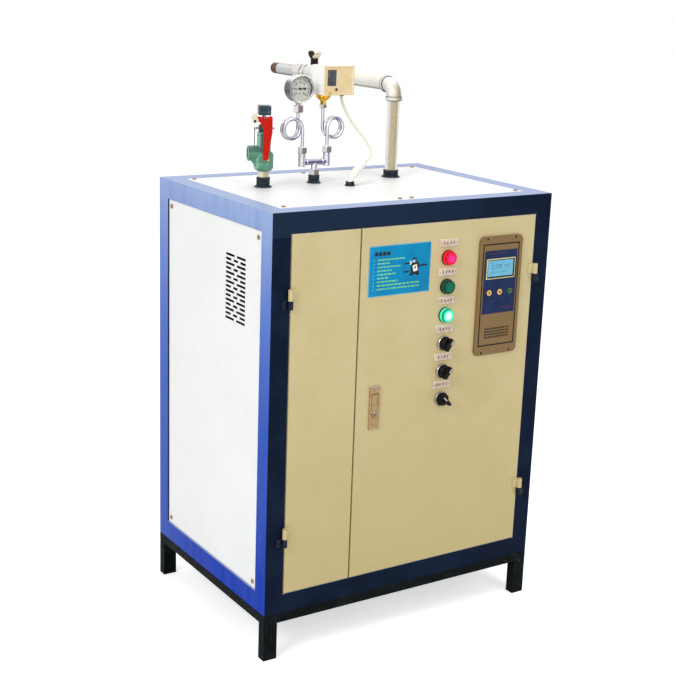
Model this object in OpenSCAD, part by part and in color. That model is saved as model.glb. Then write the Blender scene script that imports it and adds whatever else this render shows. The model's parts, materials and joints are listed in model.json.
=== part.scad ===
// Electric steam boiler in a sheet-metal cabinet on a low base. Millimetres, +Z up, front towards -Y.
// The origin is on the floor, under the middle of the boiler with its steam pipe.
// Places in the cabinet count from the frame's front left bottom corner: x right, y back, z up.

/* [Cabinet] */
// Width of the cabinet over its frame
cab_w = 665; // [660:5:700]
// Depth of the cabinet over its frame
cab_d = 475; // [465:5:520]
// Height of the cabinet's frame
cab_h = 800; // [790:5:840]
// Side of the square frame tube
tube = 40; // [36:1:42]
// Wall of the frame tube
tube_wall = 2; // [1.5:0.5:3]
// Thickness of the sheet-metal panels
panel_t = 1.5; // [1:0.25:2]
// Depth of a side panel's face behind the frame's face
panel_recess = 3; // [2:0.5:5]
// Depth of the top panels' faces below the frame's top
top_recess = 0.5; // [0:0.25:2]
// Gap between a panel's edge and the frame
panel_gap = 1; // [0.5:0.25:2]
// Diameter of a panel screw's head
screw_head_d = 9; // [7:0.5:11]
// Distance of a screw from a panel's edge
screw_inset = 14; // [12:1:16]

/* [Base] */
// Height of the base's rails
base_rail_h = 20; // [15:1:30]
// Width of the base's rails
base_rail_w = 30; // [25:1:35]
// Height of the legs below the rails
leg_h = 77; // [50:1:120]
// Width of a leg along the front
leg_w = 30; // [25:1:35]
// Depth of a leg
leg_d = 22; // [18:1:28]

/* [Vent] */
// Rows of slots in a side panel's vent
vent_rows = 15; // [9:2:17]
// Height of one slot
vent_slot_h = 5; // [3:0.5:5.5]
// Distance between the rows
vent_pitch = 9; // [8:0.25:10]
// Width of the vent
vent_w = 80; // [70:2:90]
// Distance of the vent from the frame's front
vent_in = 103; // [80:1:110]
// Distance of the lowest row below the frame's top
vent_drop = 236; // [220:1:260]

/* [Doors] */
// Width of the narrow left door
left_door_w = 150; // [140:2:160]
// Gap between the doors and the frame
door_gap = 2; // [1.5:0.25:3]
// Gap between the two doors
door_mid_gap = 3.5; // [3:0.25:5]
// Distance by which the doors' faces stand in front of the frame
door_proud = 2; // [1:0.5:3]
// Depth of the doors' folded edges
door_depth = 18; // [14:1:20]
// Thickness of the doors' sheet
door_skin = 1.5; // [1:0.25:2]
// Height of the lower hinges above the frame's bottom
hinge_low_z = 160; // [120:5:200]
// Distance of the upper hinges below the frame's top
hinge_drop = 165; // [140:5:210]
// Diameter of a hinge knuckle
knuckle_d = 10; // [9:0.5:11]
// Diameter of a hinge pin
hinge_pin_d = 5; // [4:0.5:6]

/* [Lamps and switches] */
// Gap between the instruction plate and the labels
label_gap = 21; // [18:0.5:24]
// Distance of the top lamp below the frame's top
column_drop = 114; // [108:1:120]
// Distance between two lamps or switches
column_pitch = 58.5; // [56:0.5:60]
// Diameter of a lamp's or switch's ring
bezel_d = 31; // [30:0.5:33]
// Diameter of a lamp's lens
lens_d = 29; // [26:0.5:29]
// Height of a lens in front of the door
lens_h = 14; // [9:0.5:15]
// Diameter of a switch's knob
knob_d = 26; // [22:0.5:27]
// Height of a knob with its fin in front of the door
knob_h = 26; // [22:1:30]
// Width of a label plate
label_w = 43; // [38:1:46]
// Height of a label plate
label_h = 14.5; // [9:0.5:15]

/* [Controller] */
// Width of the controller's frame
ctrl_w = 110; // [104:1:116]
// Height of the controller's frame
ctrl_h = 248; // [242:1:256]
// Gap between the controller and the right door's right edge
ctrl_gap = 34; // [30:1:37]
// Distance of the controller's middle below the frame's top
ctrl_drop = 203; // [196:1:210]
// Diameter of a key on the controller
key_d = 12; // [10:0.5:14]
// Travel of a key
key_travel = 0.8; // [0.5:0.1:1]

/* [Lock] */
// Width of the lock's plate
lock_w = 24; // [22:1:28]
// Height of the lock's plate
lock_h = 88; // [84:1:94]
// Distance of the lock's middle from the right door's left edge
lock_x = 42.5; // [38:0.5:48]
// Distance of the lock's middle below the frame's top
lock_drop = 403; // [380:1:420]
// Travel of the lock's push button
lock_button_travel = 3; // [2:0.5:4]

/* [Steam pipe] */
// Outer diameter of the steam pipe
pipe_d = 26.9; // [26:0.1:27.5]
// Wall of the steam pipe
pipe_wall = 2.6; // [2:0.1:3.2]
// Distance of the steam pipe from the frame's left side
pipe_right = 474; // [465:1:485]
// Distance of the steam pipe from the frame's front
pipe_in = 311; // [305:1:316]
// Height of the pipe's level run above the top panels
pipe_run_rise = 197; // [185:1:210]
// Distance of the outlet valve's stem from the frame's front
outlet_valve_y = 640; // [620:5:670]
// Length of the threaded pipe behind the outlet valve
outlet_nipple_l = 115; // [90:5:140]

/* [Safety valve] */
// Distance of the safety valve from the frame's left side
sv_right = 139; // [132:1:146]
// Distance of the safety valve from the frame's front
sv_in = 282; // [276:1:290]
// Diameter of the safety valve's body
sv_body_d = 40; // [38:0.5:42]
// Diameter of the safety valve's spring housing
sv_bonnet_d = 28; // [26:0.5:30]
// Lift of the spindle when the lever is pulled
sv_lift = 3; // [2.8:0.1:3.4]

/* [Siphon and gauge] */
// Distance of the siphon's stub from the frame's left side
siphon_right = 267; // [262:1:272]
// Distance of the siphon's stub from the frame's front
siphon_in = 294; // [290:1:298]
// Half the distance between the siphon's two branches
siphon_half = 30; // [28:0.5:32]
// Diameter of the siphon tube
siphon_tube_d = 7; // [6:0.5:8.5]
// Mean radius of the siphon's coil
siphon_coil_r = 20.5; // [19:0.5:23]
// Distance between two turns of the siphon's coil
siphon_pitch = 10; // [9.5:0.25:11]
// Diameter of the pressure gauge
gauge_d = 58; // [56:1:64]
// Depth of the pressure gauge's case
gauge_depth = 28; // [24:1:30]
// Width of the pressure switch's box
switch_w = 74; // [70:1:78]
// Height of the pressure switch's box
switch_h = 60; // [56:1:64]
// Depth of the pressure switch's box
switch_d = 48; // [44:1:52]
// Diameter of the pressure switch's cable
cable_d = 6; // [5:0.25:6.5]

/* [Inside] */
// Radius of the boiler drum
drum_r = 120; // [110:2:124]
// Wall of the boiler drum
drum_wall = 6; // [5:0.5:8]
// Distance of the drum's axis below the frame's top
drum_drop = 240; // [220:2:250]
// Length of the water tank
tank_l = 190; // [160:5:200]
// Height of the water tank
tank_h = 250; // [220:5:270]

/* [Hidden] */
$fn = 48;
// Share of a whole turn in degrees, and how far a cut runs past a face
turn = 360;
over = 1;
// Bare welded joints between frame parts, the fit of shafts and the fit of loose pieces
weld_gap = 0.2;
shaft_fit = 0.05;
fit = 0.3;

// Colours
navy = [0.13, 0.19, 0.42];
cream = [0.81, 0.75, 0.57];
white = [0.95, 0.95, 0.95];
black = [0.1, 0.11, 0.11];
steel = [0.7, 0.71, 0.72];
brass = [0.8, 0.62, 0.28];
green = [0.37, 0.6, 0.47];

// Places across and along are for a cabinet of this width and depth, and scale with it
places_w = 665;
places_d = 475;
wide = cab_w / places_w;
deep = cab_d / places_d;
pipe_x = pipe_right * wide;
pipe_y = pipe_in * deep;
sv_x = sv_right * wide;
sv_y = sv_in * deep;
siphon_x = siphon_right * wide;
siphon_y = siphon_in * deep;
vent_y = vent_in * deep;

// Heights and places of the whole
cab_z = base_rail_h + leg_h;
valve_half = 38;
union_gap = 3;
union_l = 28;
outlet_end_y = outlet_valve_y + valve_half + union_gap + union_l + outlet_nipple_l;
front_reach = door_proud + knob_h;
cab_x = -cab_w / 2;
cab_y = -(outlet_end_y - front_reach) / 2;
top_face = cab_h - top_recess;
pipe_run_z = top_face + pipe_run_rise;
seam_x = cab_w / 2;
seam_gap = 1;

// Right door and what stands on it
right_door_x = tube + door_gap + left_door_w + door_mid_gap;
right_door_w = cab_w - tube - door_gap - right_door_x;
door_z = tube + door_gap;
door_h = cab_h - 2 * door_z;
door_face = -door_proud;
door_back = door_face + door_skin;
door_rear = door_face + door_depth;
plate_w = 146;
plate_h = 100;
plate_t = 0.6;
plate_gap = 17.5;
plate_drop = 178;
plate_z = cab_h - plate_drop;
// The gaps across the door keep their shares of the width that its fittings leave
door_room = 128.5;
gap_share = (right_door_w - plate_w - label_w - ctrl_w) / door_room;
plate_x = plate_gap * gap_share;
column = right_door_x + plate_x + plate_w + label_gap * gap_share + label_w / 2;
ctrl_x = right_door_x + right_door_w - ctrl_gap * gap_share - ctrl_w / 2;
column_top_z = cab_h - column_drop;
ctrl_z = cab_h - ctrl_drop;
lock_z = cab_h - lock_drop;
hinge_high_z = cab_h - hinge_drop;
vent_z = cab_h - vent_drop;
drum_z = cab_h - drum_drop;
lock_mid = right_door_x + lock_x;

// Lips that the panels are screwed to
lip_w = 24;
lip_t = 2;
screw_d = 4;
screw_l = 8;
screw_head_h = 3;
screw_play = 0.5;

// Hinges
hinge_side = 2;
hinge_out = 7.5;
leaf_w = 16;
leaf_t = 3;
upper_knuckle_h = 21;
lower_knuckle_h = 17;
knuckle_gap = 0.5;
pin_tip = 2;

// Lamps and switches
lamp_ring_h = 3;
lamp_ring_hole_d = lens_d + 2 * fit;
switch_ring_h = 6;
switch_ring_play = 0.8;
switch_ring_hole_d = knob_d + 2 * switch_ring_play;
knob_shaft_d = 8;
knob_shaft_l = 6;
control_hole_d = 22.5;
control_neck_d = 21.5;
nut_d = 29;
nut_h = 5;
block_w = 30;
lamp_block_l = 36;
switch_block_l = 44;
fin_w = 8;
fin_h = 12;
fin_taper = 1;
fin_over = 1.5;
fin_flare = 3;
knob_rest = 36;
label_t = 3;
label_rise = 30;

// Controller
ctrl_t = 5;
ctrl_corner = 11;
groove_w = 1.6;
groove_depth = 2;
inner_w = 93;
inner_h = 213;
inner_drop = 2;
inner_corner = 5;
membrane_w = 83;
membrane_h = 131;
membrane_z = 29;
membrane_t = 1;
display_w = 74;
display_h = 42;
display_z = 57;
display_rise = 1.2;
key_row_z = 7.5;
key_step = 27.3;
key_side = 1;
key_h = 3;
key_rise = 1.2;
grille_cols = 12;
grille_rows = 4;
grille_step_x = 5.4;
grille_step_z = 6;
grille_hole = 2.6;
grille_z = -78;
ctrl_screw_x = 36.5;
ctrl_screw_z = 119;
ctrl_screw_d = 5;
housing_w = 86;
housing_h = 196;
housing_d = 46;
housing_wall = 2;

// Lock
lock_t = 3.5;
lock_corner = 1.5;
lever_w = 14;
lever_l = 31;
lever_t = 2.4;
lever_top = 29;
lever_pin_d = 2;
lever_eye_d = 3.6;
lock_button_d = 13;
lock_button_h = 6;
lock_button_drop = 14;
lock_body_w = 20;
lock_body_h = 76;
lock_body_d = 14;
tongue_w = 16;
tongue_t = 3;
tongue_pin_d = 8;
tongue_reach = 41;
tongue_drop = 24;
tongue_behind = 2;
lock_nose = 8;

// Nozzles through the top
sv_stub_d = 21.3;
sv_collar = [28, 36, 20];
siphon_stub_d = 17.2;
siphon_collar = [24, 30, 17];
pipe_collar = [33, 40, 16];
collar_flange_t = 2;
hole_play = 3;
gland_x = 317 * wide;
gland_y = 232 * deep;
gland_d = 21;
gland_flange_t = 3;
gland_h = 9;
gland_bore_d = 12.6;
gland_cap_d = 18;
gland_teeth = 8;
gland_slit = 1.5;

// Safety valve, heights above the top panels
sv_hex_af = 22;
sv_hex_h = 13;
sv_body_h = 39;
sv_bonnet_h = 39;
sv_neck_d = 22;
sv_neck_h = 15;
sv_gap = 19;
sv_cap_w = 25;
sv_cap_h = 19;
sv_cap_corner = 4;
sv_spindle_d = 8;
sv_port_d = 31;
sv_port_rise = 35;
sv_port_reach = 33;
sv_port_bore_d = 20.6;
sv_port_bore_l = 16;
sv_way_d = 14;
sv_pin_d = 5;
sv_pin_l = 42;
sv_pin_rise = 7.5;
sv_lever_turn = 20;
sv_lever_in = 15;
sv_lever_lean = 7;
sv_lever_t = 3;
sv_lever_up = 24;
sv_lever_down = 62;
sv_lever_half = 18;
sv_lever_tip_w = 11;
sv_arm_left = 17;
sv_arm_low = 2;
sv_strip_left = 3.5;
sv_notch_right = 1;
sv_notch_left = 4;
sv_notch_x = 1.5;
sv_notch_low = 14;
sv_cheek_in = 11.5;
sv_cheek_t = 2.5;
sv_cheek_up = 8;
sv_cheek_down = 5;
sv_cheek_back = 6;
sv_prong_w = 10;
sv_seal_w = 15;
sv_seal_h = 19;
sv_seal_t = 2.4;
sv_seal_corner = 7;
sv_seal_left = 21;
sv_seal_rise = 20;
sv_seal_in = 15.8;
sv_seal_hole_d = 5.5;
sv_seal_hole_drop = 5;
sv_wire_d = 1.5;
sv_wire_left = 19;
sv_skirt_w = 22;
sv_skirt_foot = 12;
sv_skirt_low = 2;
sv_skirt_in = 6;
sv_hex_z = top_face + sv_collar[2];
sv_body_z = sv_hex_z + sv_hex_h;
sv_bonnet_z = sv_body_z + sv_body_h;
sv_neck_z = sv_bonnet_z + sv_bonnet_h;
sv_cap_z = sv_neck_z + sv_neck_h + sv_gap;
sv_pin_z = sv_neck_z + sv_pin_rise;
sv_port_top = sv_body_z + sv_port_rise + sv_port_d / 2;

// Siphon and what it carries
siphon_hex_d = 20;
siphon_hex_h = 12;
siphon_stem_d = 13;
siphon_bar_d = 13;
siphon_branch_d = 15;
siphon_bar_rise = 44;
siphon_branch_h = 28;
siphon_branch_drop = 9;
branch_nut_d = 19;
branch_nut_h = 12;
branch_socket_d = 10;
siphon_sides = 8;
siphon_loop_steps = 24;
siphon_turns = 2;
siphon_stub_z = top_face + siphon_collar[2];
siphon_bar_z = top_face + siphon_bar_rise;
branch_top_z = siphon_bar_z - siphon_branch_drop + siphon_branch_h;
siphon_start_z = branch_top_z + branch_nut_h;
coil_rise = 112.5;
coil_z = top_face + coil_rise;
coil_turn_y = siphon_turns * siphon_pitch;
gauge_nut_rise = 144.5;
gauge_nut_z = top_face + gauge_nut_rise;
gauge_nut_h = 14;
gauge_nut_d = 20;
gauge_rise = 192.5;
gauge_z = top_face + gauge_rise;
gauge_stem_d = 10;
gauge_rim_w = 1.5;
gauge_rim_h = 6;
gauge_wall = 2;
dial_t = 1;
dial_depth = 9;
glass_t = 2;
glass_depth = 3;
needle_l = 22;
needle_tail = 12;
needle_w = 1.8;
needle_t = 0.8;
needle_hub_d = 5;
needle_pin_d = 2;
switch_left = 14;
switch_rise = 179.5;
switch_z = top_face + switch_rise;
switch_cover_t = 1.5;
switch_window_w = 22;
switch_window_h = 33;
switch_window_x = 9;
switch_window_z = 19;
switch_window_depth = 2;
bellows_d = 32;
bellows_flange_t = 6;
bellows_cone_h = 6;
bellows_neck_d = 12;
bellows_neck_h = 8;
switch_nut_d = 15;
switch_nut_h = 7;
siphon_left_x = siphon_x - siphon_half;
siphon_right_x = siphon_x + siphon_half;
exit_y = siphon_y + coil_turn_y;
bellows_bottom_z = switch_z - bellows_flange_t - bellows_cone_h - bellows_neck_h;
switch_nut_z = bellows_bottom_z - switch_nut_h;
switch_x = siphon_right_x - switch_left;
switch_y = exit_y - switch_d / 2;

// Route of the pressure switch's cable, and of the sleeve at its lower end
// Their points are for these places of the switch's stem and the gland, and move with them
route_switch = [297, 314, 0];
route_gland = [317, 232, 0];
cable_points = [[342, 314, 179.5], [342, 314, 173], [344, 313, 163], [350, 311, 148],
    [355.2, 308.7, 137.4], [361, 306, 127], [367.1, 303.2, 117.7], [373, 300, 109],
    [378.8, 296.1, 101.3], [384, 292, 94], [391, 284, 81], [394, 276, 70], [392, 268, 60],
    [384, 262, 52], [374, 258, 46], [365, 255, 42]];
sleeve_points = [[365, 255, 42], [356, 252, 38], [347, 247, 34], [338, 241, 29], [329, 236, 24],
    [321, 233, 18], [317, 232, 11], [317, 232, 2], [317, 232, -8]];
switch_moved = [siphon_right_x, exit_y, 0] - route_switch;
gland_moved = [gland_x, gland_y, 0] - route_gland;
last = len(cable_points) - 1;
cable_route = [for (i = [0:last]) cable_points[i] + switch_moved * (1 - i / last)
    + gland_moved * i / last];
sleeve_route = [for (p = sleeve_points) p + gland_moved];
sleeve_r = [7, 8, 8.4, 8.4, 8, 7, 6, 6, 6];
cable_sides = 10;

// Steam pipe and outlet valve
elbow_d = 34;
elbow_band_h = 7;
elbow_r = 25;
elbow_reach = 32;
elbow_wall = 3.2;
valve_hex_af = 36;
valve_hex_l = 15;
valve_ball_d = 26;
valve_belly_d = 44;
valve_stem_d = 10;
valve_gland_d = 18;
valve_gland_h = 6;
valve_bore_d = 20;
handle_hub_d = 18;
handle_hub_h = 8;
handle_wing_l = 21;
handle_wing_w = 16;
handle_wing_t = 4;
handle_wing_tilt = 50;
outlet_thread_l = 26;
outlet_thread_d = pipe_d - pipe_wall / 5;

// Drum, heater and what is on the floor
drum_x = 80 * wide;
drum_l = 440 * wide;
drum_y = 296 * deep;
drum_end_r = 24;
nozzle_d = 34;
nozzle_wall = 4;
nozzle_h = 40;
saddle_t = 6;
saddle_w = 170;
saddle_in = 15;
saddle_cut_w = 110;
saddle_foot_w = 40;
heater_flange_d = 170;
heater_flange_t = 14;
heater_neck_d = 140;
heater_neck_l = 14;
heater_count = 6;
heater_ring_r = 42;
heater_rod_d = 10;
heater_rod_l = 380 * wide;
heater_stud_l = 22;
pan_t = 2;
pan_side = 8;
pan_front = 20;
floor_z = tube + pan_t;
tank_x = 300 * wide;
tank_w = 200 * deep;
tank_y = 225 * deep;
tank_wall = 2;
tank_lid_t = 3;
suction_l = 26;
pump_y = 300 * deep;
pump_axis_h = 62;
motor_d = 96;
motor_l = 120;
motor_base_w = 80;
motor_base_h = 12;
volute_d = 104;
volute_l = 34;
volute_wall = 5;
volute_rim = 8;
pump_z = floor_z + pump_axis_h;
outlet_x = tank_x - suction_l - volute_l / 2;
rotor_shaft_d = 12;
rotor_l = 70;
impeller_d = 84;
impeller_l = 14;
impeller_ports = 6;
impeller_port_d = 10;
water_d = 16;
water_wall = 2;
check_rise = 60;
check_l = 46;
check_af = 26;
inlet_x = 410 * wide;
inlet_z = 255;
inlet_out = 32;
drain_x = 180 * wide;
drain_z = 130;
drain_bend = 32;
drain_high_z = drum_z - drum_r - drain_bend;
drain_valve_behind = 26;
drain_valve_y = cab_d + drain_valve_behind;
drain_valve_l = 40;
drain_valve_af = 24;
drain_gland_d = 14;
drain_gland_h = 20;
drain_stem_d = 6;
drain_stem_l = 8;
drain_lever_l = 60;
drain_lever_w = 12;
drain_lever_t = 3;
drain_out = 56;
eplate_x = 215 * wide;
eplate_w = 380 * wide;
eplate_z = 80;
eplate_h = 340;
eplate_y = 150 * deep;
eplate_t = 2;
eplate_foot = 20;
contactor_w = 46;
contactor_h = 82;
contactor_d = 60;
contactor_step = 56;
contactor_count = 4;
contactor_mid_share = 0.7;
breaker_w = 76;
breaker_h = 130;
breaker_d = 52;
terminal_w = 240;
terminal_h = 34;
terminal_d = 30;
terminal_rise = 68;

// Helpers
module at(x, y, z) translate([cab_x + x, cab_y + y, cab_z + z]) children();
module to_front() rotate([turn / 4, 0, 0]) children();
module to_back() rotate([-turn / 4, 0, 0]) children();
module to_right() rotate([0, turn / 4, 0]) children();
module rod(d, h) cylinder(d = d, h = h);
module hexagon(af, h) cylinder(d = af / cos(turn / 12), h = h, $fn = 6);
module ring(d, hole, h) difference() {
    cylinder(d = d, h = h);
    translate([0, 0, -over]) cylinder(d = hole, h = h + 2 * over);
}
// Rectangle with true round corners
module round_plate(w, h, r) {
    square([w - 2 * r, h], center = true);
    square([w, h - 2 * r], center = true);
    for (x = [-1, 1], y = [-1, 1]) translate([x * (w / 2 - r), y * (h / 2 - r)]) circle(r);
}
// Square tube along Z, open at both ends or closed on top
module tube_up(w, d, l, wall, lid) difference() {
    cube([w, d, l]);
    translate([wall, wall, -over]) cube([w - 2 * wall, d - 2 * wall, l + over + (lid ? -wall : over)]);
}
module tube_right(l, d, h, wall) difference() {
    cube([l, d, h]);
    translate([-over, wall, wall]) cube([l + 2 * over, d - 2 * wall, h - 2 * wall]);
}
module tube_back(w, l, h, wall) difference() {
    cube([w, l, h]);
    translate([wall, -over, wall]) cube([w - 2 * wall, l + 2 * over, h - 2 * wall]);
}

// Tube swept along points as one polyhedron
function unit(v) = v / norm(v);
function heading(p, i) = unit(p[min(i + 1, len(p) - 1)] - p[max(i - 1, 0)]);
function level_side(h) = norm([h[0], h[1]]) < 0.01 ? [1, 0, 0] : unit([-h[1], h[0], 0]);
function carried(side, h) = unit(side - (side * h) * h);
function sides_along(p, i, side) = i == len(p) ? [] :
    let (s = carried(side, heading(p, i))) concat([s], sides_along(p, i + 1, s));
module swept_tube(p, radius, n, first) {
    side = sides_along(p, 0, first);
    pts = [for (i = [0:len(p) - 1], k = [0:n - 1])
        let (h = heading(p, i), s = side[i], c = cross(h, s), a = turn * k / n)
        p[i] + radius[i] * (cos(a) * s + sin(a) * c)];
    skin = [for (i = [0:len(p) - 2], k = [0:n - 1])
        let (a = i * n + k, b = i * n + (k + 1) % n) each [[a, b, a + n], [b, b + n, a + n]]];
    last = (len(p) - 1) * n;
    near_end = [for (k = [1:n - 2]) [0, k + 1, k]];
    far_end = [for (k = [1:n - 2]) [last, last + k, last + k + 1]];
    polyhedron(points = pts, faces = [for (f = concat(skin, near_end, far_end)) [f[0], f[2], f[1]]]);
}

// Base: four rails and four legs of rectangular tube, the long rails with closed ends
module base_frame() color(black) {
    for (y = [0, cab_d - base_rail_w]) at(0, y, -base_rail_h) difference() {
        cube([cab_w, base_rail_w, base_rail_h]);
        translate([tube_wall, tube_wall, tube_wall]) cube([cab_w - 2 * tube_wall,
            base_rail_w - 2 * tube_wall, base_rail_h - 2 * tube_wall]);
    }
    for (x = [0, cab_w - base_rail_w]) at(x, base_rail_w + weld_gap, -base_rail_h)
        tube_back(base_rail_w, cab_d - 2 * base_rail_w - 2 * weld_gap, base_rail_h, tube_wall);
    for (x = [0, cab_w - leg_w], y = [0, cab_d - leg_d]) at(x, y, -cab_z) difference() {
        cube([leg_w, leg_d, leg_h - weld_gap]);
        translate([tube_wall, tube_wall, tube_wall])
            cube([leg_w - 2 * tube_wall, leg_d - 2 * tube_wall, leg_h]);
    }
}

// Frame: four posts, eight rails, and the lips that carry the panels
module lip_ring(w, h) difference() {
    translate([weld_gap, weld_gap]) square([w - 2 * weld_gap, h - 2 * weld_gap]);
    translate([lip_w, lip_w]) square([w - 2 * lip_w, h - 2 * lip_w]);
}
module lip_holes(w, h) for (x = [screw_inset, w - screw_inset], y = [screw_inset, h - screw_inset])
    translate([x, y]) circle(d = screw_d + screw_play);
module cabinet_frame() color(navy) {
    run_x = cab_w - 2 * tube - 2 * weld_gap;
    run_y = cab_d - 2 * tube - 2 * weld_gap;
    side_w = cab_d - 2 * tube;
    side_h = cab_h - 2 * tube;
    inside = cab_w - 2 * tube;
    for (x = [0, cab_w - tube], y = [0, cab_d - tube]) at(x, y, 0)
        tube_up(tube, tube, cab_h, tube_wall, true);
    for (y = [0, cab_d - tube], z = [0, cab_h - tube]) at(tube + weld_gap, y, z)
        tube_right(run_x, tube, tube, tube_wall);
    for (x = [0, cab_w - tube], z = [0, cab_h - tube]) at(x, tube + weld_gap, z)
        tube_back(tube, run_y, tube, tube_wall);
    for (x = [panel_recess + panel_t, cab_w - panel_recess - panel_t - lip_t]) at(x, tube, tube)
        rotate([turn / 4, 0, turn / 4]) linear_extrude(lip_t) difference() {
            lip_ring(side_w, side_h);
            lip_holes(side_w, side_h);
        }
    at(tube, cab_d - panel_recess - panel_t, tube) to_front() linear_extrude(lip_t) difference() {
        lip_ring(inside, side_h);
        lip_holes(inside, side_h);
    }
    at(tube, tube, top_face - panel_t - lip_t) linear_extrude(lip_t) difference() {
        union() {
            lip_ring(inside, side_w);
            translate([inside / 2 - lip_w, lip_w - over]) square([2 * lip_w, side_w - 2 * lip_w + 2 * over]);
        }
        top_screws(true) circle(d = screw_d + screw_play);
        translate([gland_x - tube, gland_y - tube]) circle(d = gland_d);
    }
}
// Places of the top panels' screws, from the top opening's corner
module top_screws(flat) {
    w = cab_w - 2 * tube;
    d = cab_d - 2 * tube;
    for (y = [screw_inset, d - screw_inset])
        for (x = [screw_inset, w / 2 - screw_inset, w / 2 + screw_inset, w - screw_inset])
            translate([x, y]) children();
}

// Sheet that the tank and the pump stand on
module floor_pan() color(steel) at(0, 0, tube) difference() {
    translate([pan_side, pan_front, 0]) cube([cab_w - 2 * pan_side, cab_d - pan_front - pan_side, pan_t]);
    for (x = [0, cab_w - tube], y = [0, cab_d - tube]) translate([x - panel_gap, y - panel_gap, -over])
        cube([tube + 2 * panel_gap, tube + 2 * panel_gap, pan_t + 2 * over]);
}

// Panels
module panel_outline(w, h) {
    translate([panel_gap, panel_gap]) square([w - 2 * panel_gap, h - 2 * panel_gap]);
}
module screw_holes(w, h) for (x = [screw_inset, w - screw_inset], y = [screw_inset, h - screw_inset])
    translate([x, y]) circle(d = screw_d + 2 * screw_play);
long_slot_share = 0.45;
edge_slot_share = 0.28;
mid_slot_share = 0.24;
module vent() for (row = [0:vent_rows - 1]) translate([0, row * vent_pitch]) {
    if (row % 2 == 0) {
        square([vent_w * long_slot_share, vent_slot_h]);
        translate([vent_w * (1 - long_slot_share), 0]) square([vent_w * long_slot_share, vent_slot_h]);
    } else {
        square([vent_w * edge_slot_share, vent_slot_h]);
        translate([vent_w * (1 - mid_slot_share) / 2, 0]) square([vent_w * mid_slot_share, vent_slot_h]);
        translate([vent_w * (1 - edge_slot_share), 0]) square([vent_w * edge_slot_share, vent_slot_h]);
    }
}
module side_panel(x) color(white) at(x, tube, tube) rotate([turn / 4, 0, turn / 4])
    linear_extrude(panel_t) difference() {
        panel_outline(cab_d - 2 * tube, cab_h - 2 * tube);
        screw_holes(cab_d - 2 * tube, cab_h - 2 * tube);
        translate([vent_y - tube, vent_z - tube]) vent();
    }
module side_panel_left() side_panel(panel_recess);
module side_panel_right() side_panel(cab_w - panel_recess - panel_t);
module back_panel() color(white) at(tube, cab_d - panel_recess, tube) to_front()
    linear_extrude(panel_t) difference() {
        panel_outline(cab_w - 2 * tube, cab_h - 2 * tube);
        screw_holes(cab_w - 2 * tube, cab_h - 2 * tube);
        translate([inlet_x - tube, inlet_z - tube]) circle(d = water_d + 2 * hole_play);
        translate([drain_x - tube, drain_z - tube]) circle(d = water_d + 2 * hole_play);
    }
module top_panel(left) color(white) at(0, 0, top_face - panel_t) linear_extrude(panel_t) difference() {
    x0 = left ? tube + panel_gap : seam_x + seam_gap / 2;
    x1 = left ? seam_x - seam_gap / 2 : cab_w - tube - panel_gap;
    translate([x0, tube + panel_gap]) square([x1 - x0, cab_d - 2 * tube - 2 * panel_gap]);
    translate([tube, tube]) top_screws() circle(d = screw_d + 2 * screw_play);
    translate([sv_x, sv_y]) circle(d = sv_stub_d + 2 * hole_play);
    translate([siphon_x, siphon_y]) circle(d = siphon_stub_d + 2 * hole_play);
    translate([gland_x, gland_y]) circle(d = gland_bore_d + fit);
    translate([pipe_x, pipe_y]) circle(d = pipe_d + 2 * hole_play);
}
module top_panel_left() top_panel(true);
module top_panel_right() top_panel(false);

// One screw: its head on the panel's face at z = 0, its shank below
module screw() {
    rod(screw_head_d, screw_head_h);
    translate([0, 0, -screw_l]) rod(screw_d, screw_l + over);
}
module four_screws(w, h) for (x = [screw_inset, w - screw_inset], y = [screw_inset, h - screw_inset])
    translate([x, y]) screw();
module panel_screws() color(brass) {
    side_w = cab_d - 2 * tube;
    side_h = cab_h - 2 * tube;
    at(panel_recess, cab_d - tube, tube) rotate([turn / 4, 0, -turn / 4]) four_screws(side_w, side_h);
    at(cab_w - panel_recess, tube, tube) rotate([turn / 4, 0, turn / 4]) four_screws(side_w, side_h);
    at(cab_w - tube, cab_d - panel_recess, tube) rotate([turn / 4, 0, turn / 2])
        four_screws(cab_w - 2 * tube, side_h);
    at(tube, tube, top_face) top_screws() screw();
}

// Hinges: lower knuckles with their pins are welded to the frame, upper ones to the doors
module hinge_at(left, z) at(left ? tube - hinge_side : cab_w - tube + hinge_side, -hinge_out, z) children();
module leaf(right, low, h) translate([right ? 0 : -leaf_w, low, 0]) cube([leaf_w, leaf_t, h]);
module hinge_knuckles() color(navy) for (left = [true, false], z = [hinge_low_z, hinge_high_z])
    hinge_at(left, z) {
        translate([0, 0, -lower_knuckle_h]) {
            rod(knuckle_d, lower_knuckle_h - knuckle_gap);
            leaf(!left, hinge_out - leaf_t, lower_knuckle_h - knuckle_gap);
        }
        translate([0, 0, -lower_knuckle_h]) rod(hinge_pin_d, lower_knuckle_h + upper_knuckle_h - pin_tip);
    }
module door_knuckle(left, z) hinge_at(left, z) {
    rod(knuckle_d, upper_knuckle_h);
    leaf(left, hinge_out - door_proud - leaf_t, upper_knuckle_h);
}
module door_knuckle_bore(left, z) hinge_at(left, z) translate([0, 0, -over])
    rod(hinge_pin_d + 2 * shaft_fit, upper_knuckle_h + 2 * over);

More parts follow.
